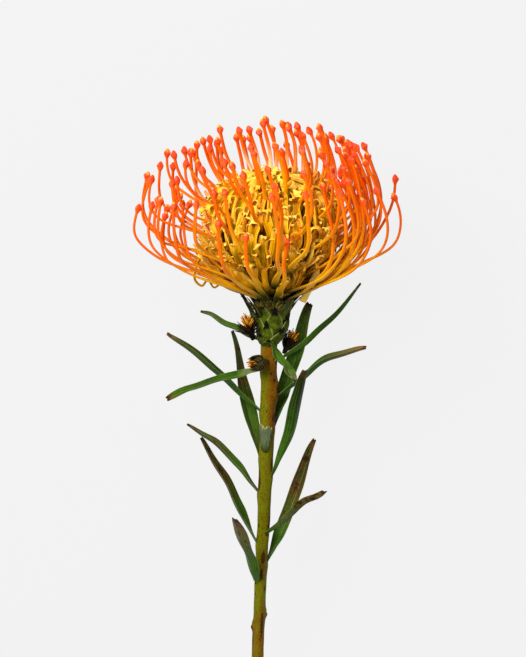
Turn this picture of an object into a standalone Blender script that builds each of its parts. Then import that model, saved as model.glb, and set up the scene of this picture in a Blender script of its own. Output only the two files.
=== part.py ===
"""A cut pincushion protea: the flower head on its leafy stem, lying on its side.

The flower is modelled upright in its own frame, in millimetres: the neck between stem and head is
at the origin, x runs to the flower's right, y to its back and z up along the stem. Every piece is a
child of one empty, which lays the flower down on its back with the head towards +Y. It then rests
on the pins at the back of the head and on the cut end of the stem, at Z = 0.
"""
import math

import bmesh
import bpy
import numpy as np
from mathutils import Vector

MM = 0.001
GAP = 0.32                      # clearance between neighbouring pieces

# Stem
STEM_LENGTH = 212.0             # neck to cut end
STEM_TOP_RADIUS = 3.4
STEM_END_RADIUS = 2.5
STEM_PROFILE = ((STEM_END_RADIUS, -STEM_LENGTH), (2.5, -88.0), (3.0, -45.0),
                (STEM_TOP_RADIUS, 0.0))         # (radius, height)
STEM_LEAN = 0.034               # sideways lean, per millimetre down the stem
STEM_BOW = 0.5                  # bow to the right, over the upper part of the stem
STEM_BOW_RISE = 20.0
STEM_BOW_FALL = (72.0, 98.0)
STEM_POINTS = 22

# Lying pose: the neck's height over the surface, and where the neck is in the finished part
NECK_HEIGHT = 38.0
NECK_X = 0.2
NECK_Y = 59.6

# Receptacle: the scaly neck and the cone inside the florets, as (radius, height) up its axis
RECEPTACLE_X = 1.6
RECEPTACLE_PROFILE = ((3.8, 0.0), (4.2, 1.0), (5.2, 3.0), (6.2, 6.0), (6.5, 12.0), (7.2, 17.0),
                      (8.2, 20.5), (8.8, 24.0), (8.3, 29.0), (6.2, 40.0), (3.6, 50.0),
                      (1.6, 54.0))
NECK_BEND_START = 1.0           # above this height the axis moves over from the stem's line
NECK_BEND_RISE = 8.0

# Perianth dome: the curled flower tubes of all florets, one mass around the cone
DOME_PROFILE = ((0.0, 70.0), (9.0, 69.6), (16.0, 67.6), (21.5, 63.4), (25.0, 57.0), (26.6, 50.0),
                (26.4, 44.5), (24.0, 41.5), (9.6, 31.0), (8.7, 31.5), (6.6, 41.0), (4.0, 50.6),
                (2.0, 54.8), (0.0, 55.4))
DOME_STEPS = 24

# Styles, the long pins. They follow a spiral from the outermost, lowest one to the innermost.
SPIRAL_STYLES = 80
GOLDEN_ANGLE = math.radians(137.508)
FIRST_AZIMUTH = 0.4
VARIATION_SEED = 7000
OUTER_STYLES = 16               # the outermost ones are all built here,
INNER_STRIDE = 9                # and of those further in, every ninth
STYLE_SLANT = 5.5               # how much higher the right-hand tips stand
RIGHT_SQUEEZE = 0.22            # how much nearer the right-hand pins stand
CROWN_DRIFT = 4.0               # leftward drift of the crown, 30 mm above the drift's start
DRIFT_START = 50.0
DRIFT_RISE = 30.0
KNOB_LENGTH = 4.2
SHAFT_POINTS = 12
# Pins out of the spiral's order: (azimuth in degrees, tip radius, tip height,
# start angle, tip angle, start handle, tip handle)
STRAY_STYLES = (
    (-1.0, 47.6, 63.0, 27.0, 114.0, 35.0, 26.0),
    (15.0, 51.5, 67.0, 26.0, 84.0, 34.0, 24.0),
    (66.0, 51.5, 70.0, 24.0, 110.0, 36.0, 32.0),
    (112.0, 51.5, 70.0, 24.0, 110.0, 36.0, 32.0),
    (187.0, 52.2, 60.0, 26.0, 116.0, 35.0, 24.0),
    (201.0, 49.0, 64.0, 27.0, 112.0, 34.0, 28.0),
    (223.0, 50.0, 68.0, 29.0, 108.0, 34.0, 28.0),
    (244.0, 46.0, 63.0, 32.0, 106.0, 30.0, 24.0),
    (255.0, 40.0, 57.0, 36.0, 100.0, 24.0, 18.0),
    (279.0, 31.5, 53.0, 38.0, 97.0, 22.0, 12.0),
    (322.0, 44.5, 68.0, 28.0, 112.0, 33.0, 29.0),
    (340.0, 43.5, 69.0, 28.0, 113.0, 33.0, 30.0),
)
STRAY_FOOT = (9.2, 21.4)        # radius and height where a stray pin leaves the receptacle

# Leaves: name, azimuth and height of the base on the stem, width, fold and roll in degrees,
# then the points that the midrib passes through on its way to the tip.
LEAF_THICKNESS = 0.6
LEAVES = (
    ("leaf_left_1", 150.0, 1.6, 5.0, 38.0, 0.0,
     ((-10.0, 5.2, 3.6), (-19.0, 9.6, 7.2), (-28.0, 14.0, 10.4))),
    ("leaf_left_2", 128.0, 4.0, 2.4, 30.0, 10.0,
     ((-5.6, 7.8, 8.2), (-8.6, 11.2, 13.6), (-11.6, 14.0, 18.7))),
    ("leaf_left_3", 186.0, -27.6, 6.4, 40.0, 0.0,
     ((-12.4, -0.6, -18.9), (-25.2, -1.4, -6.6), (-40.4, -3.4, 6.4))),
    ("leaf_left_4", 176.0, -10.0, 5.0, 38.0, -8.0,
     ((-13.0, -5.4, -10.9), (-27.0, -12.2, -12.8), (-40.8, -18.0, -16.7))),
    ("leaf_left_5", 164.0, -47.0, 7.2, 32.0, 34.0,
     ((-8.4, 5.0, -28.8), (-11.6, 7.2, -13.6), (-14.8, 3.6, 5.0))),
    ("leaf_left_6", 172.0, -62.5, 6.0, 38.0, 0.0,
     ((-12.0, 3.0, -53.0), (-21.6, 5.4, -43.0), (-33.6, 8.0, -36.3))),
    ("leaf_left_7", 188.0, -84.0, 7.0, 34.0, 26.0,
     ((-12.2, -2.6, -68.0), (-18.8, -4.0, -53.6), (-27.6, -5.0, -37.4))),
    ("leaf_left_8", 222.0, -101.0, 7.4, 20.0, 0.0,
     ((-7.4, -8.4, -89.5), (-10.6, -17.4, -76.4), (-14.0, -28.0, -63.4))),
    ("leaf_right_1", -32.0, -6.2, 5.2, 38.0, 0.0,
     ((12.2, -5.0, 1.2), (23.4, -8.0, 12.0), (36.0, -10.0, 28.6))),
    ("leaf_right_2", 28.0, -34.5, 7.4, 34.0, -36.0,
     ((6.4, 5.0, -20.4), (11.4, 7.2, -3.6), (16.8, 8.0, 15.1))),
    ("leaf_right_3", -10.0, -21.4, 6.4, 38.0, 0.0,
     ((12.0, -2.8, -13.8), (23.6, -5.6, -3.6), (38.8, -8.0, 1.2))),
    ("leaf_right_4", -78.0, 2.4, 5.4, 32.0, 0.0,
     ((3.6, -11.4, -1.2), (7.0, -19.2, -3.6), (10.4, -27.0, -6.6))),
    ("leaf_right_5", -24.0, -55.0, 6.6, 30.0, 34.0,
     ((6.2, -4.2, -42.0), (10.2, -8.6, -25.4), (14.0, -14.0, -6.2))),
    ("leaf_right_6", 16.0, -93.0, 7.2, 32.0, -30.0,
     ((5.2, 2.6, -80.6), (12.0, 4.4, -61.0), (18.8, 5.0, -41.7))),
    ("leaf_right_7", -58.0, -79.6, 6.4, 36.0, 0.0,
     ((6.6, -9.8, -70.6), (14.4, -16.0, -60.8), (22.4, -22.0, -54.4))),
)
LEAF_CELLS = (11, 4)

# Dried side heads in the axils below the neck: name, centre of the base, axis, scale
DRIED_HEAD_PROFILE = ((0.0, 11.6), (1.9, 11.4), (2.4, 9.8), (3.7, 8.0), (3.9, 6.2), (2.8, 4.0),
                      (0.9, 2.4), (0.8, 0.0), (0.0, 0.0))
DRIED_HEAD_STEPS = 12
DRIED_HEADS = (
    ("dried_head_left", (-6.5, -2.5, 3.6), (-0.28, -0.12, 0.95), 1.0),
    ("dried_head_right", (6.1, 2.2, -3.8), (0.46, 0.22, 0.86), 0.94),
    ("dried_head_front", (-0.9, -4.1, -5.6), (-0.80, -0.59, 0.05), 0.90),
)

# Torn leaf stub: the clasping base of a torn leaf on the front of the stem
STUB_FOOT = -44.0
STUB_TOP = -32.0
STUB_CENTRE = -102.0            # azimuth of its middle, in degrees
STUB_HALF_ANGLE = 44.0
STUB_THICKNESS = 0.7

# Loose perianths that hang below the head
STRIP_WIDTH = 2.0
STRIP_THICKNESS = 0.6
STRIP_POINTS = ((18.8, -9.5, 36.8), (18.7, -9.4, 32.4), (16.5, -8.2, 26.6), (13.3, -6.6, 20.0))
CURL_RADIUS = 0.5
CURL_POINTS = ((-24.6, -6.9, 40.8), (-28.2, -7.6, 36.0), (-29.4, -7.9, 30.0), (-26.6, -7.3, 26.8),
               (-24.2, -6.8, 29.0), (-21.8, -6.2, 25.8), (-19.2, -5.6, 27.2))

STEM_GREEN = (0.165, 0.145, 0.018)
RECEPTACLE_GREEN = (0.060, 0.085, 0.012)
PERIANTH_YELLOW = (0.62, 0.28, 0.012)
STYLE_ORANGE = (0.72, 0.085, 0.004)
LEAF_GREEN = (0.030, 0.052, 0.010)
STUB_GREY = (0.090, 0.105, 0.060)
DRIED_BROWN = (0.090, 0.040, 0.012)
STRIP_YELLOW = (0.90, 0.66, 0.22)


def material(name, colour, roughness):
    """A plain Principled material."""
    made = bpy.data.materials.new(name)
    made.use_nodes = True
    shader = made.node_tree.nodes["Principled BSDF"]
    shader.inputs["Base Color"].default_value = (*colour, 1.0)
    shader.inputs["Roughness"].default_value = roughness
    shader.inputs["Metallic"].default_value = 0.0
    return made


def add_object(name, data, finish, flower):
    """Link a new object into the flower's collection, under the empty that lays it down."""
    data.materials.append(finish)
    piece = bpy.data.objects.new(name, data)
    flower["collection"].objects.link(piece)
    piece.parent = flower["pose"]
    return piece


def tube(name, points, radii, sides, finish, flower):
    """A tapering round tube along a polyline: a curve with a bevel and filled caps."""
    curve = bpy.data.curves.new(name, "CURVE")
    curve.dimensions = "3D"
    curve.bevel_depth = MM
    curve.bevel_resolution = (sides - 4) // 2
    curve.use_fill_caps = True
    spline = curve.splines.new("POLY")
    spline.points.add(len(points) - 1)
    for point, place, radius in zip(spline.points, points, radii):
        point.co = (*(np.asarray(place) * MM), 1.0)
        point.radius = radius
    return add_object(name, curve, finish, flower)


def turned(name, profile, steps, finish, flower):
    """A turned solid: its (radius, height) profile, top to bottom, with a Screw modifier."""
    mesh = bpy.data.meshes.new(name)
    rings = [(radius * MM, 0.0, height * MM) for radius, height in profile]
    edges = [(k, k + 1) for k in range(len(rings) - 1)]
    mesh.from_pydata(rings, edges, [])
    piece = add_object(name, mesh, finish, flower)
    screw = piece.modifiers.new("turn", "SCREW")
    screw.axis = "Z"
    screw.steps = steps
    screw.render_steps = steps
    screw.use_merge_vertices = True
    screw.merge_threshold = 0.00001
    screw.use_smooth_shade = True
    return piece


def sheet(name, place, cells, thickness, finish, flower):
    """A thin blade: a grid whose corners place(along, across) puts in space, with Solidify."""
    grid = bmesh.new()
    bmesh.ops.create_grid(grid, x_segments=cells[0], y_segments=cells[1], size=1.0)
    for vertex in grid.verts:
        along = 0.5 * (vertex.co.x + 1.0)
        across = vertex.co.y
        vertex.co = Vector(place(along, across)) * MM
    mesh = bpy.data.meshes.new(name)
    grid.to_mesh(mesh)
    grid.free()
    mesh.shade_smooth()
    piece = add_object(name, mesh, finish, flower)
    wall = piece.modifiers.new("thickness", "SOLIDIFY")
    wall.thickness = thickness * MM
    wall.offset = 0.0
    return piece


def smooth_path(points, count):
    """A Catmull-Rom curve through the points, as `count` places evenly spread in its parameter."""
    knots = np.asarray(points, float)
    padded = np.vstack([2 * knots[0] - knots[1], knots, 2 * knots[-1] - knots[-2]])
    steps = np.linspace(0, len(knots) - 1, count)
    first = np.minimum(steps.astype(int), len(knots) - 2)
    t = (steps - first)[:, None]
    a, b, c, d = (padded[first + k] for k in range(4))
    return 0.5 * (2 * b + (c - a) * t + (2 * a - 5 * b + 4 * c - d) * t ** 2
                  + (3 * b - a - 3 * c + d) * t ** 3)


def lying_angle():
    """The angle of the stem's axis over the surface, from the neck's height and the cut end."""
    return math.asin((NECK_HEIGHT - STEM_END_RADIUS) / STEM_LENGTH)


def eased(value, low, high):
    """0 below low, 1 above high, smooth between."""
    share = np.clip((value - low) / (high - low), 0, 1)
    return share * share * (3 - 2 * share)


def stem_centre(z):
    """Sideways place of the stem's axis at a height below the neck."""
    down = np.maximum(-np.asarray(z, float), 0.0)
    bow = STEM_BOW * eased(down, 0.0, STEM_BOW_RISE) * (1 - eased(down, *STEM_BOW_FALL))
    return -STEM_LEAN * down + bow


def stem_radius(z):
    """Radius of the stem at a height below the neck."""
    radii, heights = zip(*STEM_PROFILE)
    return np.interp(z, heights, radii)


def receptacle_centre(z):
    """Sideways place of the receptacle's axis: in line with the stem at the neck."""
    top = NECK_BEND_START + NECK_BEND_RISE
    return RECEPTACLE_X * eased(np.asarray(z, float), NECK_BEND_START, top)


def receptacle_radius(z):
    """Radius of the receptacle at a height above the neck."""
    radii, heights = zip(*RECEPTACLE_PROFILE)
    return np.interp(z, heights, radii)


def make_stem(finish, flower):
    """The flower stalk, from its cut end to just below the neck."""
    heights = np.linspace(-STEM_LENGTH, -GAP, STEM_POINTS)
    points = np.stack([stem_centre(heights), 0 * heights, heights], 1)
    return tube("stem", points, stem_radius(heights), 12, finish, flower)


def make_receptacle(finish, flower):
    """The scaly neck with the cone that carries the florets."""
    radii, heights = (np.array(values) for values in zip(*RECEPTACLE_PROFILE))
    points = np.stack([receptacle_centre(heights), 0 * heights, heights], 1)
    return tube("receptacle", points, radii, 16, finish, flower)


def make_dome(finish, flower):
    """The mass of curled flower tubes, seated over the receptacle's cone."""
    dome = turned("perianth_dome", DOME_PROFILE, DOME_STEPS, finish, flower)
    dome.location = (RECEPTACLE_X * MM, 0.0, 0.0)
    return dome


def floret(index):
    """Azimuth, foot, tip, start and tip angles, handle lengths, sway and squeeze of one style."""
    if index >= SPIRAL_STYLES:
        degrees, radius, height, start, end, *handles = STRAY_STYLES[index - SPIRAL_STYLES]
        angles = (math.radians(start), math.radians(end))
        return math.radians(degrees), STRAY_FOOT, (radius, height), angles, handles, 0.0, 0.0
    inward = index / (SPIRAL_STYLES - 1)
    vary = np.random.default_rng(VARIATION_SEED + index).normal(0, 1, 8)
    azimuth = index * GOLDEN_ANGLE + 0.05 * vary[0] + FIRST_AZIMUTH
    foot_height = 23 + 27 * inward ** 0.9
    foot = (receptacle_radius(foot_height) + 0.8, foot_height)
    tip_radius = 49.5 - 33 * inward ** 1.6 + 1.5 * vary[1]
    slant = STYLE_SLANT * math.cos(azimuth) * tip_radius / 50
    tip = (tip_radius, 68.5 + 18 * inward ** 0.62 + 1.6 * vary[2] + slant)
    angles = (math.radians(24 + 52 * inward ** 0.8 + 3 * vary[3]),
              math.radians(112 - 12 * inward + 6 * vary[4]))
    handles = (38 - 20 * inward + 2 * vary[5], 33 - 16 * inward ** 0.8 + 2 * vary[6])
    squeeze = RIGHT_SQUEEZE * max(math.cos(azimuth), 0)
    return azimuth, foot, tip, angles, handles, 0.07 * vary[7], squeeze


def style_line(index, count):
    """The middle line of a style: a cubic curve in its upright radial plane, with a slight sway.

    The crown drifts to the left above the dome.
    """
    azimuth, foot, tip, angles, handles, sway, squeeze = floret(index)
    start = np.array(foot)
    end = np.array(tip)
    leave = start + handles[0] * np.array([math.cos(angles[0]), math.sin(angles[0])])
    arrive = end - handles[1] * np.array([math.cos(angles[1]), math.sin(angles[1])])
    t = np.linspace(0, 1, count)[:, None]
    plane = ((1 - t) ** 3 * start + 3 * (1 - t) ** 2 * t * leave
             + 3 * (1 - t) * t ** 2 * arrive + t ** 3 * end)
    plane[:, 0] = start[0] + (plane[:, 0] - start[0]) * (1 - squeeze * t[:, 0] ** 2 * (3 - 2 * t[:, 0]))
    turn = azimuth + sway * t[:, 0] ** 2
    rise = np.maximum(plane[:, 1] - DRIFT_START, 0) / DRIFT_RISE
    x = RECEPTACLE_X + plane[:, 0] * np.cos(turn) - CROWN_DRIFT * rise ** 2
    return np.stack([x, plane[:, 0] * np.sin(turn), plane[:, 1]], 1)


def style_radius(left):
    """Radius of a style by the length left to its tip: a thin shaft with a pointed knob."""
    lengths = (0.0, 1.0, 2.6, 3.4, KNOB_LENGTH, 18.0, 45.0, 70.0)
    radii = (0.45, 1.05, 1.3, 1.0, 0.52, 0.66, 0.76, 0.8)
    return np.interp(left, lengths, radii)


def clear_of_dome(line, left):
    """Index where the style has left the dome, with the gap; 0 where it passes below the dome."""
    radius = np.hypot(line[:, 0] - RECEPTACLE_X, line[:, 1])
    flat = np.stack([radius, line[:, 2]], 1)
    skin = np.array(DOME_PROFILE[:9])
    near = np.full(len(flat), np.inf)
    lean = np.zeros(len(flat))
    heading = np.gradient(flat, axis=0)
    heading /= np.linalg.norm(heading, axis=1)[:, None]
    for a, b in zip(skin[:-1], skin[1:]):
        along = (b - a) / np.linalg.norm(b - a)
        reach = np.clip((flat - a) @ along, 0, np.linalg.norm(b - a))
        distance = np.linalg.norm(flat - a - reach[:, None] * along, axis=1)
        closer = distance < near
        near = np.where(closer, distance, near)
        lean = np.where(closer, np.abs(heading @ along), lean)
    heights = np.interp(radius, skin[::-1][:2, 0], skin[::-1][:2, 1])
    top = np.interp(radius, skin[:6, 0], skin[:6, 1])
    inside = (radius < skin[:, 0].max()) & (line[:, 2] > heights) & (line[:, 2] < top)
    margin = GAP + 0.05 + style_radius(left) * lean
    blocked = np.nonzero(inside | (near < margin))[0]
    return blocked[-1] + 1 if len(blocked) else 0


def make_style(name, index, finish, flower):
    """One pin, from its seat on the receptacle or the dome to its knob."""
    line = style_line(index, 240)
    steps = np.linalg.norm(np.diff(line, axis=0), axis=1)
    along = np.concatenate([[0], np.cumsum(steps)])
    left = along[-1] - along
    first = clear_of_dome(line, left)
    shaft = np.linspace(along[first], along[-1] - KNOB_LENGTH, SHAFT_POINTS)
    knob = along[-1] - np.array([3.0, 2.0, 0.8, 0.0])
    stations = np.concatenate([shaft, knob])
    points = np.stack([np.interp(stations, along, line[:, k]) for k in range(3)], 1)
    radii = style_radius(along[-1] - stations)
    surface = (NECK_HEIGHT + points[:, 2] * math.sin(lying_angle())) / math.cos(lying_angle())
    points[:, 1] = np.minimum(points[:, 1], surface - radii)
    return tube(name, points, radii, 6, finish, flower)


def make_styles(finish, flower):
    """The outermost pins, every ninth of the inner ones, and the strays."""
    chosen = [*range(OUTER_STYLES), *range(OUTER_STYLES, SPIRAL_STYLES, INNER_STRIDE)]
    chosen += range(SPIRAL_STYLES, SPIRAL_STYLES + len(STRAY_STYLES))
    for number, index in enumerate(chosen, 1):
        make_style(f"style_{number:02d}", index, finish, flower)


def leaf_surface(azimuth, base_height, width, fold, roll, knots):
    """A function that places a point of a leaf's middle surface.

    The midrib runs through the knots from the stem. The blade is narrow at the base, keeps its
    width and rounds off at the tip. Its halves fold up from the midrib towards the stem, and the
    knots lie at half the height of that fold.
    """
    outward = np.array([math.cos(math.radians(azimuth)), math.sin(math.radians(azimuth)), 0.0])
    if base_height < 0:
        centre, radius = stem_centre(base_height), stem_radius(base_height)
    else:
        centre, radius = receptacle_centre(base_height), receptacle_radius(base_height + 0.4)
    base = np.array([centre, 0.0, base_height])
    base = base + (radius + GAP + 0.6 * LEAF_THICKNESS) * outward
    count = 121
    line = smooth_path([base, *knots], count)
    tangent = np.gradient(line, axis=0)
    tangent /= np.linalg.norm(tangent, axis=1)[:, None]
    upper = np.array([0.0, 0.0, 1.0]) - outward
    normal = upper - (tangent @ upper)[:, None] * tangent
    normal /= np.linalg.norm(normal, axis=1)[:, None]
    side = np.cross(tangent, normal)

    def place(along, across):
        station = along * (count - 1)
        middle, lift, spread = (
            np.array([np.interp(station, np.arange(count), row[:, k]) for k in range(3)])
            for row in (line, normal, side))
        opening = min(along / 0.3, 1.0)
        opening = opening * opening * (3 - 2 * opening)
        closing = max(along - 0.62, 0.0) / 0.38
        half = 0.5 * width * (0.4 + 0.6 * opening) * (1 - 0.72 * closing ** 2.2)
        turn = math.radians(roll) * opening
        bend = math.radians(fold) * min(along / 0.18, 1.0)
        out = half * across * math.cos(bend)
        up = half * (abs(across) - 0.5) * math.sin(bend)
        out, up = (out * math.cos(turn) - up * math.sin(turn),
                   out * math.sin(turn) + up * math.cos(turn))
        return middle + out * spread + up * lift

    return place


def make_leaves(finish, flower):
    """The narrow leathery leaves, each on its own spot of the stem."""
    for name, azimuth, height, width, fold, roll, knots in LEAVES:
        place = leaf_surface(azimuth, height, width, fold, roll, knots)
        sheet(name, place, LEAF_CELLS, LEAF_THICKNESS, finish, flower)


def make_stub(finish, flower):
    """The torn leaf base that clasps the front of the stem."""
    def place(along, across):
        height = STUB_FOOT + (STUB_TOP - STUB_FOOT) * along
        angle = math.radians(STUB_CENTRE + STUB_HALF_ANGLE * across * (0.6 + 0.4 * along))
        radius = stem_radius(height) + GAP + 0.5 * STUB_THICKNESS + 0.5 * along
        x = stem_centre(height) + radius * math.cos(angle)
        return (x, radius * math.sin(angle), height)

    sheet("torn_leaf_stub", place, (4, 6), STUB_THICKNESS, finish, flower)


def make_dried_heads(finish, flower):
    """The small dried side heads, each pointing out of its leaf axil."""
    for name, base, axis, scale in DRIED_HEADS:
        profile = [(radius * scale, height * scale) for radius, height in DRIED_HEAD_PROFILE]
        head = turned(name, profile, DRIED_HEAD_STEPS, finish, flower)
        head.location = Vector(base) * MM
        head.rotation_mode = "QUATERNION"
        head.rotation_quaternion = Vector(axis).to_track_quat("Z", "Y")


def make_loose_perianths(strip_finish, curl_finish, flower):
    """The pale strip and the thin curl that hang from the underside of the head."""
    line = smooth_path(STRIP_POINTS, 41)

    def place(along, across):
        middle = [np.interp(along * 40, np.arange(41), line[:, k]) for k in range(3)]
        return (middle[0] + 0.5 * STRIP_WIDTH * across * 0.86,
                middle[1] - 0.2 * across ** 2,
                middle[2] - 0.5 * STRIP_WIDTH * across * 0.5)

    sheet("loose_perianth_strip", place, (8, 2), STRIP_THICKNESS, strip_finish, flower)
    curl = smooth_path(CURL_POINTS, 26)
    tube("loose_perianth_curl", curl, [CURL_RADIUS] * len(curl), 6, curl_finish, flower)


def lay_down(pose):
    """Turn the upright flower on its back, with the neck at its place over the surface."""
    pose.rotation_euler = (lying_angle() - math.pi / 2, 0.0, 0.0)
    pose.location = (NECK_X * MM, NECK_Y * MM, NECK_HEIGHT * MM)


def main():
    for old in list(bpy.data.objects):
        bpy.data.objects.remove(old, do_unlink=True)
    collection = bpy.data.collections.new("pincushion_protea")
    bpy.context.scene.collection.children.link(collection)
    pose = bpy.data.objects.new("lying_pose", None)
    collection.objects.link(pose)
    lay_down(pose)
    flower = {"collection": collection, "pose": pose}

    make_stem(material("stem_bark", STEM_GREEN, 0.55), flower)
    make_receptacle(material("green_scales", RECEPTACLE_GREEN, 0.6), flower)
    perianth = material("perianth_yellow", PERIANTH_YELLOW, 0.5)
    make_dome(perianth, flower)
    make_styles(material("style_orange", STYLE_ORANGE, 0.4), flower)
    make_leaves(material("leaf_green", LEAF_GREEN, 0.5), flower)
    make_stub(material("stub_grey", STUB_GREY, 0.7), flower)
    make_dried_heads(material("dried_brown", DRIED_BROWN, 0.8), flower)
    make_loose_perianths(material("strip_yellow", STRIP_YELLOW, 0.55), perianth, flower)


main()
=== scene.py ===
"""The looks of a cut pincushion protea, lying on a pale surface.

The flower is worked out upright, in millimetres: the neck between stem and head is at the origin,
x runs to the flower's right, y to its back and z up along the stem. lay_down() then turns it on
its back and brings it to the frame's metres.
"""

import math

import bpy
import numpy as np
from bpy.props import FloatProperty, FloatVectorProperty, IntProperty, PointerProperty
from mathutils import Matrix, Vector


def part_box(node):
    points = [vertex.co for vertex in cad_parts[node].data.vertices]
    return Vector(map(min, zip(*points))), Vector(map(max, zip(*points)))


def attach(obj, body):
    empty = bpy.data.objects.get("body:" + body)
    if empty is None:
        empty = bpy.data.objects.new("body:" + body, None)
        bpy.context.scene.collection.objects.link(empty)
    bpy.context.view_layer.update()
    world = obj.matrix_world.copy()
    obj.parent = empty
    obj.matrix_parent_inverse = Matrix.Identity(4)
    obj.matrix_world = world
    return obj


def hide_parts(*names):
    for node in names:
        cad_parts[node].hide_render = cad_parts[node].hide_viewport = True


bl_info = {
    "name": "Pincushion Protea",
    "version": (1, 0, 0),
    "blender": (4, 5, 0),
    "location": "View3D > Sidebar > Protea",
    "description": "Builds the stem, leaves, florets and pins of a cut pincushion protea",
    "category": "Add Mesh",
}

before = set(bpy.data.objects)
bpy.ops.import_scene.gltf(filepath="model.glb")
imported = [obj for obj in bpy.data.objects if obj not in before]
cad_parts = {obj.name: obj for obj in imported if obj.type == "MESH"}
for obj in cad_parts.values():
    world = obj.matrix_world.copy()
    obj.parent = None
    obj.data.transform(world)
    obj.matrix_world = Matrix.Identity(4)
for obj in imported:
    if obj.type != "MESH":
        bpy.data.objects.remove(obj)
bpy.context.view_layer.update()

MM = 0.001
GAP = 0.32                      # clearance below the neck, as built

# Stem
STEM_LENGTH = 212.0
STEM_TOP_RADIUS = 3.4
STEM_END_RADIUS = 2.5
STEM_PROFILE = ((STEM_END_RADIUS, -STEM_LENGTH), (2.5, -88.0), (3.0, -45.0),
                (STEM_TOP_RADIUS, 0.0))
STEM_LEAN = 0.034
STEM_BOW = 0.5
STEM_BOW_RISE = 20.0
STEM_BOW_FALL = (72.0, 98.0)

# Receptacle: the scaly neck and the cone inside the florets, as (radius, height) up its axis
RECEPTACLE_X = 1.6
RECEPTACLE_PROFILE = ((3.8, 0.0), (4.2, 1.0), (5.2, 3.0), (6.2, 6.0), (6.5, 12.0), (7.2, 17.0),
                      (8.2, 20.5), (8.8, 24.0), (8.3, 29.0), (6.2, 40.0), (3.6, 50.0),
                      (1.6, 54.0))
NECK_BEND_START = 1.0
NECK_BEND_RISE = 8.0

# Pins, on a spiral from the outermost, lowest one to the innermost
SPIRAL_STYLES = 80
GOLDEN_ANGLE = math.radians(137.508)
FIRST_AZIMUTH = 0.4
VARIATION_SEED = 7000
OUTER_STYLES = 16
INNER_STRIDE = 9
STYLE_SLANT = 5.5
RIGHT_SQUEEZE = 0.22
CROWN_DRIFT = 4.0
DRIFT_START = 50.0
DRIFT_RISE = 30.0
# Pins out of the spiral's order: (azimuth in degrees, tip radius, tip height,
# start angle, tip angle, start handle, tip handle)
STRAY_STYLES = (
    (-1.0, 47.6, 63.0, 27.0, 114.0, 35.0, 26.0),
    (15.0, 51.5, 67.0, 26.0, 84.0, 34.0, 24.0),
    (66.0, 51.5, 70.0, 24.0, 110.0, 36.0, 32.0),
    (112.0, 51.5, 70.0, 24.0, 110.0, 36.0, 32.0),
    (187.0, 52.2, 60.0, 26.0, 116.0, 35.0, 24.0),
    (201.0, 49.0, 64.0, 27.0, 112.0, 34.0, 28.0),
    (223.0, 50.0, 68.0, 29.0, 108.0, 34.0, 28.0),
    (244.0, 46.0, 63.0, 32.0, 106.0, 30.0, 24.0),
    (255.0, 40.0, 57.0, 36.0, 100.0, 24.0, 18.0),
    (279.0, 31.5, 53.0, 38.0, 97.0, 22.0, 12.0),
    (322.0, 44.5, 68.0, 28.0, 112.0, 33.0, 29.0),
    (340.0, 43.5, 69.0, 28.0, 113.0, 33.0, 30.0),
)
STRAY_FOOT = (9.2, 21.4)

# Leaves: name, azimuth and height of the base on the stem, width, fold and roll in degrees,
# then the points that the midrib passes through on its way to the tip.
LEAVES = (
    ("leaf_left_1", 150.0, 1.6, 5.0, 38.0, 0.0,
     ((-10.0, 5.2, 3.6), (-19.0, 9.6, 7.2), (-28.0, 14.0, 10.4))),
    ("leaf_left_2", 128.0, 4.0, 2.4, 30.0, 10.0,
     ((-5.6, 7.8, 8.2), (-8.6, 11.2, 13.6), (-11.6, 14.0, 18.7))),
    ("leaf_left_3", 186.0, -27.6, 6.4, 40.0, 0.0,
     ((-12.4, -0.6, -18.9), (-25.2, -1.4, -6.6), (-40.4, -3.4, 6.4))),
    ("leaf_left_4", 176.0, -10.0, 5.0, 38.0, -8.0,
     ((-13.0, -5.4, -10.9), (-27.0, -12.2, -12.8), (-40.8, -18.0, -16.7))),
    ("leaf_left_5", 164.0, -47.0, 7.2, 32.0, 34.0,
     ((-8.4, 5.0, -28.8), (-11.6, 7.2, -13.6), (-14.8, 3.6, 5.0))),
    ("leaf_left_6", 172.0, -62.5, 6.0, 38.0, 0.0,
     ((-12.0, 3.0, -53.0), (-21.6, 5.4, -43.0), (-33.6, 8.0, -36.3))),
    ("leaf_left_7", 188.0, -84.0, 7.0, 34.0, 26.0,
     ((-12.2, -2.6, -68.0), (-18.8, -4.0, -53.6), (-27.6, -5.0, -37.4))),
    ("leaf_left_8", 222.0, -101.0, 7.4, 20.0, 0.0,
     ((-7.4, -8.4, -89.5), (-10.6, -17.4, -76.4), (-14.0, -28.0, -63.4))),
    ("leaf_right_1", -32.0, -6.2, 5.2, 38.0, 0.0,
     ((12.2, -5.0, 1.2), (23.4, -8.0, 12.0), (36.0, -10.0, 28.6))),
    ("leaf_right_2", 28.0, -34.5, 7.4, 34.0, -36.0,
     ((6.4, 5.0, -20.4), (11.4, 7.2, -3.6), (16.8, 8.0, 15.1))),
    ("leaf_right_3", -10.0, -21.4, 6.4, 38.0, 0.0,
     ((12.0, -2.8, -13.8), (23.6, -5.6, -3.6), (38.8, -8.0, 1.2))),
    ("leaf_right_4", -78.0, 2.4, 5.4, 32.0, 0.0,
     ((3.6, -11.4, -1.2), (7.0, -19.2, -3.6), (10.4, -27.0, -6.6))),
    ("leaf_right_5", -24.0, -55.0, 6.6, 30.0, 34.0,
     ((6.2, -4.2, -42.0), (10.2, -8.6, -25.4), (14.0, -14.0, -6.2))),
    ("leaf_right_6", 16.0, -93.0, 7.2, 32.0, -30.0,
     ((5.2, 2.6, -80.6), (12.0, 4.4, -61.0), (18.8, 5.0, -41.7))),
    ("leaf_right_7", -58.0, -79.6, 6.4, 36.0, 0.0,
     ((6.6, -9.8, -70.6), (14.4, -16.0, -60.8), (22.4, -22.0, -54.4))),
)

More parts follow.
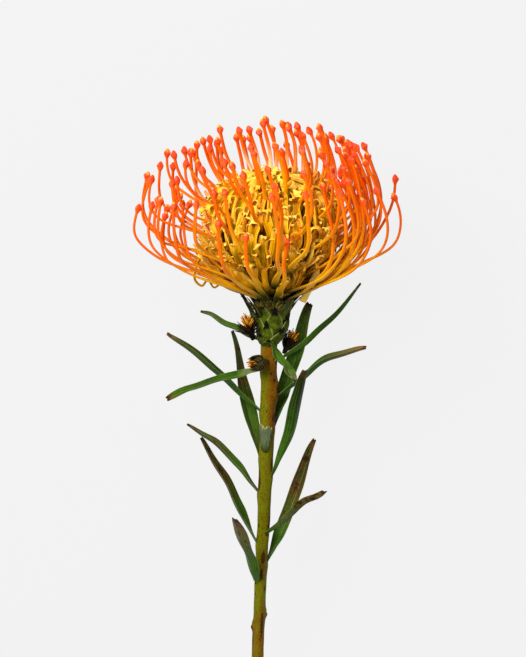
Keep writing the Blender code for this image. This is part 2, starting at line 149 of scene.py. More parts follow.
# Dried side heads: name, centre of the base, axis, scale
DRIED_HEADS = (
    ("dried_head_left", (-6.5, -2.5, 3.6), (-0.28, -0.12, 0.95), 1.0),
    ("dried_head_right", (6.1, 2.2, -3.8), (0.46, 0.22, 0.86), 0.94),
    ("dried_head_front", (-0.9, -4.1, -5.6), (-0.80, -0.59, 0.05), 0.90),
)

# Torn leaf stub on the front of the stem
STUB_FOOT = -44.0
STUB_TOP = -32.0
STUB_CENTRE = -102.0
STUB_HALF_ANGLE = 44.0

# Loose perianths that hang below the head
STRIP_POINTS = ((18.8, -9.5, 36.8), (18.7, -9.4, 32.4), (16.5, -8.2, 26.6), (13.3, -6.6, 20.0))
CURL_POINTS = ((-24.6, -6.9, 40.8), (-28.2, -7.6, 36.0), (-29.4, -7.9, 30.0), (-26.6, -7.3, 26.8),
               (-24.2, -6.8, 29.0), (-21.8, -6.2, 25.8), (-19.2, -5.6, 27.2))


def srgb(red, green, blue):
    """A screen colour, 0 to 255 a channel, as the linear values that a shader takes."""
    shares = np.array([red, green, blue]) / 255
    linear = np.where(shares <= 0.04045, shares / 12.92, ((shares + 0.055) / 1.055) ** 2.4)
    return tuple(float(value) for value in linear)


def colour(label, red, green, blue):
    """A colour setting whose default is a screen colour."""
    return FloatVectorProperty(name=label, description=f"Colour: {label.lower()}", size=3,
                               subtype="COLOR", min=0.0, max=1.0, default=srgb(red, green, blue))


def millimetres(label, default):
    """A size setting in millimetres."""
    return FloatProperty(name=label, description=f"{label}, in millimetres", default=default,
                         min=0.0)


# ---------------------------------------------------------------------------------------------
# Settings
# ---------------------------------------------------------------------------------------------

class StemSettings(bpy.types.PropertyGroup):
    green: colour("Green bark", 102, 102, 0)
    ochre: colour("Ochre bark", 118, 76, 0)
    brown: colour("Blotches and scars", 58, 30, 2)
    wood: colour("Cut wood", 205, 196, 140)
    stub_grey: colour("Torn leaf base", 84, 96, 64)
    stub_edge: colour("Torn edge", 186, 158, 88)
    scar_height: millimetres("Height of the leaf scars", 0.9)


class ScaleSettings(bpy.types.PropertyGroup):
    green: colour("Scale green", 72, 88, 2)
    edge: colour("Pale scale edge", 148, 150, 78)
    tip: colour("Black scale tip", 12, 8, 6)
    length: millimetres("Scale length", 11.0)
    width: millimetres("Scale width", 7.4)
    rise: millimetres("Rise from scale to scale", 1.08)


class PinSettings(bpy.types.PropertyGroup):
    foot: colour("Foot of a pin", 124, 110, 14)
    low: colour("Low shaft", 255, 184, 6)
    middle: colour("Middle shaft", 255, 150, 2)
    upper: colour("Upper shaft", 254, 120, 0)
    knob: colour("Knob", 246, 72, 18)
    pollen: colour("Knob's pollen tip", 236, 166, 48)
    cream: colour("Pale shaft at the back", 255, 214, 160)
    crowd: IntProperty(name="Crowded pins", description="Extra pins at the two sides", min=0,
                       default=32)
    foot_width: millimetres("Width at the foot", 3.1)
    neck_width: millimetres("Width below the knob", 1.32)
    knob_width: millimetres("Width of the knob", 2.8)


class PerianthSettings(bpy.types.PropertyGroup):
    olive: colour("Olive base", 120, 98, 2)
    gold: colour("Golden outside", 240, 172, 0)
    pale: colour("Pale inside", 255, 216, 88)
    blush: colour("Orange blush", 246, 146, 34)
    anther: colour("Anthers", 130, 60, 4)
    # Painted shade: the heart's dark tone, seen in the gaps between the tubes.
    shade: colour("Between the tubes", 110, 80, 2)
    sheaths: IntProperty(name="Sheaths", description="Number of broad tubes", default=250, min=1)
    skirt: IntProperty(name="Skirt", description="Number of tubes under the dome", default=150,
                       min=0)
    straps: IntProperty(name="Straps", description="Longer, lower tubes on the left",
                        default=26, min=0)
    sheath_width: millimetres("Sheath width", 3.5)
    skirt_width: millimetres("Skirt tube width", 2.8)
    limb_width: millimetres("Limb width", 1.6)
    held_loops: IntProperty(name="Held loops", description="Pins that still stick in their tubes",
                            default=20, min=0)
    strip_pale: colour("Loose strip", 255, 228, 120)
    strip_deep: colour("Loose strip's end", 255, 194, 60)


class LeafSettings(bpy.types.PropertyGroup):
    brown: colour("Dry brown", 84, 58, 14)
    burnt: colour("Burnt brown", 36, 22, 6)
    rib: colour("Midrib and margin", 140, 154, 84)
    thickness: millimetres("Thickness", 0.7)


class DriedSettings(bpy.types.PropertyGroup):
    bract: colour("Dry bract", 20, 12, 6)
    bract_highlight_edge: colour("Dry bract's lit edge", 80, 56, 26)
    tuft: colour("Dry florets", 226, 152, 34)
    tuft_root: colour("Root of the dry florets", 84, 40, 4)


class StageSettings(bpy.types.PropertyGroup):
    floor_tone: colour("Surface", 241, 241, 241)
    glow: FloatProperty(name="Evenness", default=0.97, min=0.0, max=1.0,
                        description="Share of the surface's tone that shadows don't touch")
    key_power: FloatProperty(name="Key light", default=15.0, min=0.0, unit="POWER",
                             description="Power of the large light at the upper left")
    fill_power: FloatProperty(name="Fill light", default=2.0, min=0.0, unit="POWER",
                              description="Power of the light at the right")
    sky_strength: FloatProperty(name="Sky", default=0.32, min=0.0,
                                description="Strength of the even light all around")
    view_elevation: FloatProperty(name="View elevation", default=math.radians(17.0),
                                  subtype="ANGLE",
                                  description="Angle of view above the flower's own horizon")
    view_distance: FloatProperty(name="View distance", default=1.2, min=0.3, unit="LENGTH",
                                 description="Distance of the camera from its target")
    view_height: FloatProperty(name="View height", default=0.2628, min=0.05, unit="LENGTH",
                               description="Height of the view at its target")
    target_left: millimetres("Target to the left", 2.4)
    target_up: millimetres("Target above the neck", 6.6)


SETTINGS = (("protea_stem", StemSettings), ("protea_scales", ScaleSettings),
            ("protea_pins", PinSettings), ("protea_perianth", PerianthSettings),
            ("protea_leaves", LeafSettings), ("protea_dried", DriedSettings),
            ("protea_stage", StageSettings))


# ---------------------------------------------------------------------------------------------
# Where the flower lies
# ---------------------------------------------------------------------------------------------

def lying_pose():
    """The lying angle and the neck's place in the row frame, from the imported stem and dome.

    The stem's box is as high as its axis rises, plus both end radii times the angle's cosine; the
    angle follows by repeating that a few times. Its highest corner is the rim of its top end, just
    below the neck. The neck's x is the dome's middle, less the receptacle's sideways place.
    """
    low, high = (np.array(corner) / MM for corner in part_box("stem"))
    angle = 0.0
    for _ in range(8):
        rise = high[2] - low[2] - (STEM_TOP_RADIUS + STEM_END_RADIUS) * math.cos(angle)
        angle = math.asin(rise / (STEM_LENGTH - GAP))
    y = high[1] - STEM_TOP_RADIUS * math.sin(angle) + GAP * math.cos(angle)
    z = high[2] - STEM_TOP_RADIUS * math.cos(angle) + GAP * math.sin(angle)
    dome = (np.array(corner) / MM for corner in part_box("perianth_dome"))
    x = sum(corner[0] for corner in dome) / 2 - RECEPTACLE_X
    return angle, np.array([x, y, z])


LYING_ANGLE, NECK = lying_pose()
TURN = np.array([[1.0, 0.0, 0.0],
                 [0.0, math.sin(LYING_ANGLE), -math.cos(LYING_ANGLE)],
                 [0.0, math.cos(LYING_ANGLE), math.sin(LYING_ANGLE)]])


def lay_down(points):
    """Upright flower coordinates in millimetres, turned on their back into the row frame."""
    return (np.asarray(points) @ TURN + NECK) * MM


def above_surface(points, clearance):
    """The same points, none lower than the clearance over the surface that the flower lies on."""
    surface = (NECK[2] + points[..., 2] * math.sin(LYING_ANGLE)) / math.cos(LYING_ANGLE)
    lifted = points.copy()
    lifted[..., 1] = np.minimum(points[..., 1], surface - clearance)
    return lifted


# ---------------------------------------------------------------------------------------------
# Curves and skins
# ---------------------------------------------------------------------------------------------

def smooth_step(value, low, high):
    """0 below low, 1 above high, and 3t^2 - 2t^3 of the share t between them."""
    share = np.clip((value - low) / (high - low), 0, 1)
    return share * share * (3 - 2 * share)


def smooth_path(points, count):
    """A Catmull-Rom curve through the points, as `count` places evenly spread in its parameter."""
    knots = np.asarray(points, float)
    padded = np.vstack([2 * knots[0] - knots[1], knots, 2 * knots[-1] - knots[-2]])
    steps = np.linspace(0, len(knots) - 1, count)
    first = np.minimum(steps.astype(int), len(knots) - 2)
    t = (steps - first)[:, None]
    a, b, c, d = (padded[first + k] for k in range(4))
    return 0.5 * (2 * b + (c - a) * t + (2 * a - 5 * b + 4 * c - d) * t ** 2
                  + (3 * b - a - 3 * c + d) * t ** 3)


def bezier(start, leave, arrive, end, t):
    """A cubic Bezier curve: the four points weighted by the cubic Bernstein polynomials of t."""
    t = t[:, None]
    return ((1 - t) ** 3 * start + 3 * (1 - t) ** 2 * t * leave
            + 3 * (1 - t) * t ** 2 * arrive + t ** 3 * end)


def unit(vectors):
    """Vectors scaled to length one."""
    return vectors / np.linalg.norm(vectors, axis=-1, keepdims=True)


def lengths_along(line):
    """Distance along a polyline to each of its points."""
    steps = np.linalg.norm(np.diff(line, axis=0), axis=1)
    return np.concatenate([[0.0], np.cumsum(steps)])


def at_lengths(line, stations):
    """Points of a polyline at the given distances along it."""
    along = lengths_along(line)
    return np.stack([np.interp(stations, along, line[:, k]) for k in range(3)], 1)


def carried(path, facing):
    """Side and up vectors along a path: up is the facing vector made square to the path."""
    along = unit(np.gradient(path, axis=0))
    facing = np.broadcast_to(facing, path.shape)
    up = unit(facing - (facing * along).sum(1)[:, None] * along)
    return np.cross(up, along), up


def loops_on(path, side, up, across, lift):
    """Closed loops along a path: each corner stands `across` by side and `lift` by up."""
    return path[:, None] + across[..., None] * side[:, None] + lift[..., None] * up[:, None]


def section(corners, squareness=1.0):
    """A closed unit section: cosine and sine of evenly spread angles, to a power that flattens."""
    angle = np.arange(corners) * 2 * math.pi / corners
    x, y = np.cos(angle), np.sin(angle)
    return np.sign(x) * np.abs(x) ** squareness, np.sign(y) * np.abs(y) ** squareness


class Skin:
    """Gathers closed strands into one mesh, with named numbers, called marks, at each corner."""

    def __init__(self):
        self.points = []
        self.quads = []
        self.fans = []
        self.marks = {}
        self.size = 0

    def add(self, loops, **marks):
        """Adds rows of closed loops, joined row to row and closed by a fan at both ends."""
        rows, cols = loops.shape[:2]
        corner = self.size + np.arange(rows * cols).reshape(rows, cols)
        beside = np.roll(corner, -1, axis=1)
        quads = np.stack([corner[:-1], beside[:-1], beside[1:], corner[1:]], -1)
        self.quads.append(quads.reshape(-1, 4))
        first, last = self.size + rows * cols, self.size + rows * cols + 1
        start = np.stack([np.full(cols, first), beside[0], corner[0]], -1)
        end = np.stack([np.full(cols, last), corner[-1], beside[-1]], -1)
        self.fans.append(np.concatenate([start, end]))
        self.points.append(np.concatenate([loops.reshape(-1, 3), loops[[0, -1]].mean(1)]))
        for name, value in marks.items():
            grid = np.broadcast_to(value, (rows, cols))
            ends = grid[[0, -1]].mean(1)
            self.marks.setdefault(name, []).append(np.concatenate([grid.ravel(), ends]))
        self.size += rows * cols + 2

    def shown(self, name, nodes, slot, finish):
        """Makes the mesh object, in the row frame, in place of its CAD nodes."""
        mesh = bpy.data.meshes.new(name)
        faces = np.concatenate(self.quads).tolist() + np.concatenate(self.fans).tolist()
        mesh.from_pydata(lay_down(np.concatenate(self.points)), [], faces)
        for label, values in self.marks.items():
            layer = mesh.attributes.new(label, "FLOAT", "POINT")
            layer.data.foreach_set("value", np.concatenate(values).astype(np.float32))
        mesh.shade_smooth()
        mesh.materials.append(finish)
        piece = bpy.data.objects.new(name, mesh)
        bpy.context.scene.collection.objects.link(piece)
        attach(piece, "root")
        if nodes:
            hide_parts(*nodes)
        return piece


# ---------------------------------------------------------------------------------------------
# Finishes
# ---------------------------------------------------------------------------------------------

class Value:
    """A shader socket in arithmetic: each operation adds the Math node that does it."""

    def __init__(self, finish, socket):
        self.finish = finish
        self.socket = socket

    def math(self, operation, first, second):
        return self.finish.node("Math", {"operation": operation}, {0: first, 1: second})

    def __add__(self, other):
        return self.math("ADD", self, other)

    def __radd__(self, other):
        return self.math("ADD", other, self)

    def __sub__(self, other):
        return self.math("SUBTRACT", self, other)

    def __rsub__(self, other):
        return self.math("SUBTRACT", other, self)

    def __mul__(self, other):
        return self.math("MULTIPLY", self, other)

    def __rmul__(self, other):
        return self.math("MULTIPLY", other, self)


class Finish:
    """A material with one Principled shader and the nodes that vary it over the surface."""

    def __init__(self, name, **constants):
        self.material = bpy.data.materials.new(name)
        self.material.use_nodes = True
        self.tree = self.material.node_tree
        self.shader = self.tree.nodes["Principled BSDF"]
        for label, value in constants.items():
            socket = label.replace("_", " ").title().replace("Ior", "IOR")
            self.shader.inputs[socket].default_value = value
        self.where = None

    def put(self, socket, value):
        """Links a Value to a socket, or sets the socket to a number or a colour."""
        if isinstance(value, Value):
            self.tree.links.new(value.socket, socket)
        elif hasattr(value, "__len__") and len(socket.default_value) == 4:
            socket.default_value = (*value, 1.0)
        else:
            socket.default_value = value

    def node(self, kind, settings=None, inputs=None, output=0):
        """Adds a node: its settings first, then the values or links of its sockets."""
        made = self.tree.nodes.new("ShaderNode" + kind)
        for label, value in (settings or {}).items():
            if label == "stops":
                ramp = made.color_ramp
                for _ in value[2:]:
                    ramp.elements.new(0.5)
                for element, (place, tone) in zip(ramp.elements, value):
                    element.position = place
                    element.color = (*tone, 1.0)
            else:
                setattr(made, label, value)
        for label, value in (inputs or {}).items():
            self.put(made.inputs[label], value)
        return Value(self, made.outputs[output])

    def mark(self, name):
        """A named number of the mesh."""
        return self.node("Attribute", {"attribute_name": name}, output=2)

    def place(self):
        """Object coordinates in millimetres."""
        if self.where is None:
            metres = self.node("TexCoord", output=3)
            self.where = self.node("VectorMath", {"operation": "SCALE"}, {0: metres, 3: 1000.0})
        return self.where

    def noise(self, size, detail=3.0, stretch=(1.0, 1.0, 1.0), rough=0.55):
        """Noise whose features are about `size` millimetres, longer along a stretched axis."""
        scale = tuple(1.0 / (size * length) for length in stretch)
        spot = self.node("VectorMath", {"operation": "MULTIPLY"}, {0: self.place(), 1: scale})
        return self.node("TexNoise", {}, {"Vector": spot, "Scale": 1.0, "Detail": detail,
                                          "Roughness": rough})

    def step(self, value, low, high):
        """0 below low, 1 above high, smooth between."""
        return self.node("MapRange", {"interpolation_type": "SMOOTHSTEP"},
                         {0: value, 1: low, 2: high, 3: 0.0, 4: 1.0})

    def wave(self, value):
        """The sine of a value."""
        return self.node("Math", {"operation": "SINE"}, {0: value})

    def mix(self, first, second, factor):
        """The first colour, changed to the second by the factor."""
        return self.node("Mix", {"data_type": "RGBA"}, {0: factor, 6: first, 7: second}, output=2)

    def ramp(self, value, *stops):
        """A colour ramp through (place, colour) stops."""
        return self.node("ValToRGB", {"stops": stops}, {0: value})

    def finish(self, tone, rough=None, height=None, depth=0.2, strength=1.0):
        """Feeds the shader's colour, roughness and bump, and returns the material."""
        self.put(self.shader.inputs["Base Color"], tone)
        if rough is not None:
            self.put(self.shader.inputs["Roughness"], rough)
        if height is not None:
            bump = self.node("Bump", {}, {"Height": height, "Strength": strength,
                                          "Distance": depth * MM})
            self.put(self.shader.inputs["Normal"], bump)
        return self.material


def bark_finish(look):
    """Green and ochre bark with brown blotches, scars, streaks and fine dark specks."""
    bark = Finish("stem_bark", roughness=0.5, specular_ior_level=0.08)
    broad = bark.noise(4.0, 4.0, (1.0, 4.0, 1.0), 0.65)
    streak = bark.noise(0.7, 3.0, (1.0, 9.0, 1.0))
    fine = bark.noise(0.5, 4.0, (1.0, 1.6, 1.0), 0.7)
    ochre = bark.step(bark.mark("ochre") + 1.2 * (broad - 0.5) + 0.6 * (streak - 0.5), 0.3, 0.72)
    tone = bark.mix(tuple(look.green), tuple(look.ochre), ochre)
    tone = bark.mix(tone, srgb(140, 138, 40), bark.step(streak, 0.56, 0.74) * 0.4)
    specks = bark.step(bark.noise(0.7, 2.0, (1.0, 1.6, 1.0)), 0.62, 0.69)
    blotch = bark.step(bark.mark("blotch") + 0.8 * (fine - 0.5), 0.38, 0.62)
    tone = bark.mix(tone, srgb(70, 44, 0), bark.step(fine + 0.5 * (broad - 0.5), 0.5, 0.66) * 0.62)
    tone = bark.mix(tone, tuple(look.brown), bark.step(specks * 0.8 + blotch, 0.1, 1.0) * 0.9)
    tone = bark.mix(tone, tuple(look.wood), bark.step(bark.mark("cut"), 0.3, 0.7))
    return bark.finish(tone, 0.42 + 0.25 * fine, streak * 0.6 + fine * 0.6, 0.12)


def stub_finish(look):
    """Grey-green dead leaf base, with a pale torn rim."""
    stub = Finish("stub_grey", roughness=0.75, specular_ior_level=0.2)
    streak = stub.noise(0.7, 3.0, (1.0, 7.0, 1.0))
    along = stub.mark("along")
    tone = stub.mix(tuple(look.stub_grey), srgb(50, 58, 34), stub.step(streak, 0.45, 0.7))
    tone = stub.mix(srgb(48, 56, 8), tone, stub.step(along + 0.3 * (streak - 0.5), 0.05, 0.35))
    torn = stub.step(along + 0.5 * (streak - 0.5), 0.93, 1.06)
    tone = stub.mix(tone, tuple(look.stub_edge), torn)
    return stub.finish(tone, None, streak, 0.15)


def scale_finish(look, dried=False):
    """Scales with a pale margin and a black point: green, or brown on dry ones."""
    scale = Finish("dry_spikes" if dried else "green_scales", roughness=0.6,
                   specular_ior_level=0.1)
    grain = scale.noise(0.8, 4.0)
    patch = scale.noise(2.4, 3.0)
    fresh = srgb(92, 78, 10) if dried else tuple(look.green)
    shaded = srgb(46, 34, 4) if dried else srgb(44, 56, 2)
    tone = scale.mix(fresh, shaded, scale.step(patch + 0.6 * (grain - 0.5), 0.36, 0.64))
    tone = scale.mix(tone, srgb(112, 118, 22), scale.step(scale.noise(1.3, 4.0), 0.54, 0.72) * 0.5)
    edge = scale.step(scale.mark("edge") + 0.8 * (grain - 0.5), 0.68, 1.02)
    tone = scale.mix(tone, tuple(look.edge), edge * 0.8)
    point = scale.step(scale.mark("along") + 0.16 * (grain - 0.5) - 0.06 * edge, 0.64, 0.72)
    tone = scale.mix(tone, tuple(look.tip), point)
    return scale.finish(tone, None, grain, 0.12)


def pin_finish(look):
    """Shafts from olive through yellow to orange, with red knobs, some with a pollen tip; painted
    shade darkens the groove and the flanks, and painted highlights dot the knobs.
    """
    pin = Finish("style_orange", roughness=0.45, specular_ior_level=0.08)
    grain = pin.noise(1.2, 3.0)
    along = pin.mark("along") + 0.10 * (grain - 0.5) + 0.16 * (pin.mark("tone") - 0.45)
    tone = pin.ramp(along, (0.02, srgb(52, 46, 4)), (0.09, tuple(look.foot)),
                    (0.18, srgb(220, 152, 4)), (0.36, tuple(look.low)), (0.52, tuple(look.middle)),
                    (0.68, tuple(look.upper)), (0.9, srgb(250, 98, 2)))
    back = pin.mark("back") * pin.step(along, 0.4, 0.52) * (1 - pin.step(along, 0.6, 0.8))
    tone = pin.mix(tone, tuple(look.cream), back * 0.75)
    # Painted shade: the groove down the upper shaft is darkened to red-orange, as shade lies in it.
    groove = pin.mark("groove")
    tone = pin.mix(tone, srgb(186, 52, 0), groove * 0.45 * pin.step(along, 0.42, 0.7))
    # Painted shade: the flanks of the shaft, by the side mark, are darkened as a rounded shaft turning
    # from the light.
    margin = pin.step(pin.mark("side") + 0.3 * (grain - 0.5), 0.35, 0.95)
    shadow = pin.mix(srgb(168, 110, 0), srgb(168, 56, 0), pin.step(along, 0.3, 0.55))
    tone = pin.mix(tone, shadow, margin * 0.22)
    # Painted highlight: pale pink patches, spread by noise, brighten the knob.
    knob = pin.mix(tuple(look.knob), srgb(255, 122, 96), pin.step(grain, 0.46, 0.66) * 0.6)
    # Painted shade: the knob's flanks are darkened to deep red.
    knob = pin.mix(knob, srgb(190, 34, 6), margin * 0.5)
    tone = pin.mix(tone, knob, pin.step(pin.mark("knob"), 0.25, 0.7))
    pollen = pin.step(pin.mark("knob") + 0.5 * (grain - 0.5), 0.84, 1.0) * pin.mark("pollen")
    tone = pin.mix(tone, tuple(look.pollen), pollen * 0.8)
    return pin.finish(tone, 0.34 + 0.2 * grain, grain, 0.08)


def perianth_finish(look):
    """Tubes that are olive below and golden above, streaked, pale on the inside, with brown ends;
    painted shade darkens their middles and roots, and painted highlight brightens their rims.
    """
    silk = Finish("perianth_yellow", roughness=0.55, specular_ior_level=0.06)
    grain = silk.noise(0.6, 3.0)
    patch = silk.noise(3.5, 2.0)
    along = silk.mark("along")
    olive = 1 - silk.step(along + 0.4 * (patch - 0.5) + 0.25 * silk.mark("tone"), 0.2, 0.62)
    outside = silk.mix(tuple(look.gold), tuple(look.olive), olive)
    edge = silk.mark("edge")
    # Painted shade: the middle of each tube is darkened to olive, as shade in its channel.
    middle = (1 - silk.step(edge, 0.15, 0.75)) * silk.step(silk.mark("tone") + patch, 0.5, 0.9)
    middle = middle * (1 - silk.step(along, 0.74, 0.9))
    outside = silk.mix(outside, srgb(112, 92, 0), middle * 0.85)
    # Painted highlight: the rims of each tube are brightened to pale yellow.
    rim = silk.step(edge + 0.3 * (grain - 0.5), 0.62, 0.92)
    outside = silk.mix(outside, srgb(255, 200, 52), rim * 0.7)
    outside = silk.mix(outside, srgb(255, 208, 92), silk.step(along, 0.8, 0.98) * 0.65)
    blush = silk.step(silk.mark("tone"), 0.78, 0.95) * silk.step(along, 0.35, 0.7)
    outside = silk.mix(outside, tuple(look.blush), blush * 0.5)
    streak = silk.wave(edge * 17.0 + silk.mark("tone") * 20.0) * 0.5 + grain
    outside = silk.mix(outside, srgb(140, 94, 0), silk.step(streak, 0.4, 1.0) * 0.5)
    # Painted shade: the roots of the tubes, deep in the dome, are darkened nearly to black-olive.
    root = 1 - silk.step(along + 0.2 * (patch - 0.5), 0.12, 0.42)
    outside = silk.mix(outside, srgb(62, 52, 4), root * 0.85)
    inside = silk.mix(srgb(250, 196, 58), tuple(look.pale), silk.step(grain + silk.mark("tone") - 0.5,
                                                                      0.3, 0.7))
    tone = silk.mix(inside, outside, silk.step(silk.mark("face"), -0.15, 0.25))
    brown = silk.step(silk.mark("anther") + 0.3 * (grain - 0.5), 0.5, 0.8)
    tone = silk.mix(tone, tuple(look.anther), brown)
    return silk.finish(tone, None, grain, 0.1)


def leaf_finish(name, look, tones, blotches):
    """Leathery blade: its colours from base to tip, pale rib and margin, dark and brown patches.

    Brown patches follow noise that is stronger towards the tip.
    """
    blade = Finish(name, roughness=0.5, specular_ior_level=0.08)
    grain = blade.noise(0.6, 4.0, rough=0.65)
    patch = blade.noise(4.0, 3.0)
    along = blade.mark("along")
    stops = zip((0.02, 0.36, 0.6, 0.9, 1.0), (srgb(*tone) for tone in tones))
    tone = blade.ramp(along + 0.2 * (patch - 0.5) + 0.1 * (grain - 0.5), *stops)
    deep = blade.step(patch + 0.5 * (grain - 0.5), 0.45, 0.75)
    tone = blade.mix(tone, srgb(14, 24, 0), deep * 0.45)
    bloom = blade.step(blade.noise(1.6, 4.0, rough=0.7), 0.55, 0.72)
    tone = blade.mix(tone, srgb(126, 136, 88), bloom * 0.16)
    vein = blade.wave(blade.mark("across") * 19.0 + patch * 5.0) * 0.5 + grain
    tone = blade.mix(tone, srgb(112, 134, 50), blade.step(vein, 0.6, 1.05) * 0.22)
    rib = blade.step(1 - blade.mark("across"), 0.84, 0.98) * blade.step(blade.mark("face"), 0.0, 0.3)
    margin = blade.step(blade.mark("across"), 0.93, 1.0)
    tone = blade.mix(tone, tuple(look.rib), rib * 0.3 + margin * 0.45)
    spread = blade.noise(3.2, 4.0, (1.0, 1.5, 1.0), 0.68) + 0.12 * (blade.step(along, 0.3, 0.7) - 1)
    low = 0.76 - 0.3 * blotches
    tone = blade.mix(tone, tuple(look.brown), blade.step(spread, low, low + 0.05) * 0.8)
    tone = blade.mix(tone, tuple(look.burnt), blade.step(spread, low + 0.06, low + 0.12) * 0.9)
    end = blade.step(along + 0.06 * (grain - 0.5), 0.955, 0.985)
    tone = blade.mix(tone, srgb(58, 32, 8), end * 0.8)
    return blade.finish(tone, 0.42 + 0.25 * grain, grain * 0.6 + patch * 0.4, 0.12)


def dried_finish(look, olive):
    """Black-brown bracts with lighter edges painted as highlights, and a share of olive in them."""
    husk = Finish("dried_bracts", roughness=0.7, specular_ior_level=0.08)
    grain = husk.noise(0.6, 4.0)
    # Painted highlight: the bracts' edges are lightened as if lit.
    edge = husk.step(husk.mark("edge") + 0.7 * (grain - 0.5), 0.6, 1.0)
    tone = husk.mix(tuple(look.bract), srgb(84, 78, 40), olive * husk.step(grain, 0.35, 0.65))
    tone = husk.mix(tone, tuple(look.bract_highlight_edge), edge * 0.5)
    return husk.finish(tone, None, grain, 0.15)


def tuft_finish(look):
    """Dry florets: dark at the root, golden brown above."""
    tuft = Finish("dried_florets", roughness=0.65, specular_ior_level=0.06)
    grain = tuft.noise(0.5, 3.0)
    rise = tuft.step(tuft.mark("along") + 0.5 * (grain - 0.5) + 0.3 * (tuft.mark("tone") - 0.5),
                     0.25, 0.75)
    tone = tuft.mix(tuple(look.tuft_root), tuple(look.tuft), rise)
    dark = 1 - tuft.step(tuft.mark("tone") + 0.3 * (grain - 0.5), 0.36, 0.5)
    tone = tuft.mix(tone, srgb(60, 24, 4), dark * 0.85)
    return tuft.finish(tone, None, grain, 0.1)


def strip_finish(look):
    """Pale papery strip, deeper yellow at its torn end."""
    strip = Finish("strip_yellow", roughness=0.5, specular_ior_level=0.3, subsurface_weight=0.1)
    strip.shader.inputs["Subsurface Scale"].default_value = 1.0 * MM
    grain = strip.noise(0.6, 3.0, (1.0, 4.0, 1.0))
    deep = strip.step(strip.mark("along") + 0.4 * (grain - 0.5), 0.75, 1.0)
    tone = strip.mix(tuple(look.strip_pale), tuple(look.strip_deep), deep)
    return strip.finish(tone, None, grain, 0.1)


# ---------------------------------------------------------------------------------------------
# Stem
# ---------------------------------------------------------------------------------------------

# Leaf scars and buds: azimuth in degrees, height and size
SCARS = ((-14, -18.6, 2.2), (6, -115.5, 1.3), (178, -121.0, 1.2), (96, -134.0, 1.1),
         (-52, -147.0, 1.2), (150, -158.0, 1.1), (34, -171.0, 1.2), (-112, -183.0, 1.1),
         (92, -195.0, 1.0))
# Brown blotches: azimuth in degrees, height, half width in degrees, half length
BLOTCHES = ((-76, -90.0, 26, 3.2), (-84, -97.5, 18, 3.0), (-30, -76.0, 24, 4.0),
            (200, -57.0, 30, 5.5), (-20, -50.0, 26, 3.0), (-40, -104.0, 14, 1.6),
            (-140, -106.5, 8, 0.8), (215, -76.5, 16, 1.2), (-60, -120.0, 20, 7.0),
            (-30, -30.0, 30, 2.4), (-75, -11.0, 10, 0.8), (-100, -27.0, 7, 0.7),
            (-50, -14.0, 12, 0.9), (195, -127.0, 24, 6.0), (100, -60.0, 40, 6.0),
            (70, -95.0, 30, 7.0), (120, -125.0, 30, 6.0), (20, -150.0, 34, 8.0),
            (-100, -165.0, 30, 7.0), (-60, -196.0, 40, 8.0))
STEM_ROWS = 430
STEM_CORNERS = 44
STUB_ROWS = 26
STUB_CORNERS = 72
CUT_RINGS = (0.97, 0.9, 0.7, 0.45, 0.22, 0.08)


def stem_centre(z):
    """Sideways place of the stem's axis: it leans to the left going down, with a slight bow."""
    down = np.maximum(-np.asarray(z, float), 0.0)
    bow = STEM_BOW * smooth_step(down, 0.0, STEM_BOW_RISE) * (1 - smooth_step(down, *STEM_BOW_FALL))
    return -STEM_LEAN * down + bow


def profile_radius(profile, z):
    """Radius at a height, between the (radius, height) corners of a profile."""
    radii, heights = zip(*profile)
    return np.interp(z, heights, radii)


def stem_radius(z):
    """Radius of the stem at a height below the neck."""
    return profile_radius(STEM_PROFILE, z)


def receptacle_centre(z):
    """Sideways place of the receptacle's axis: in line with the stem at the neck."""
    rise = smooth_step(np.asarray(z, float), NECK_BEND_START, NECK_BEND_START + NECK_BEND_RISE)
    return RECEPTACLE_X * rise


def receptacle_radius(z):
    """Radius of the receptacle at a height above the neck."""
    return profile_radius(RECEPTACLE_PROFILE, z)


def spot(angle, z, azimuth, height, half_angle, half_length):
    """A bell over the stem's skin: exp of minus the squared distances over the half sizes."""
    turn = (angle - math.radians(azimuth) + math.pi) % (2 * math.pi) - math.pi
    return np.exp(-(turn / math.radians(half_angle)) ** 2 - ((z - height) / half_length) ** 2)


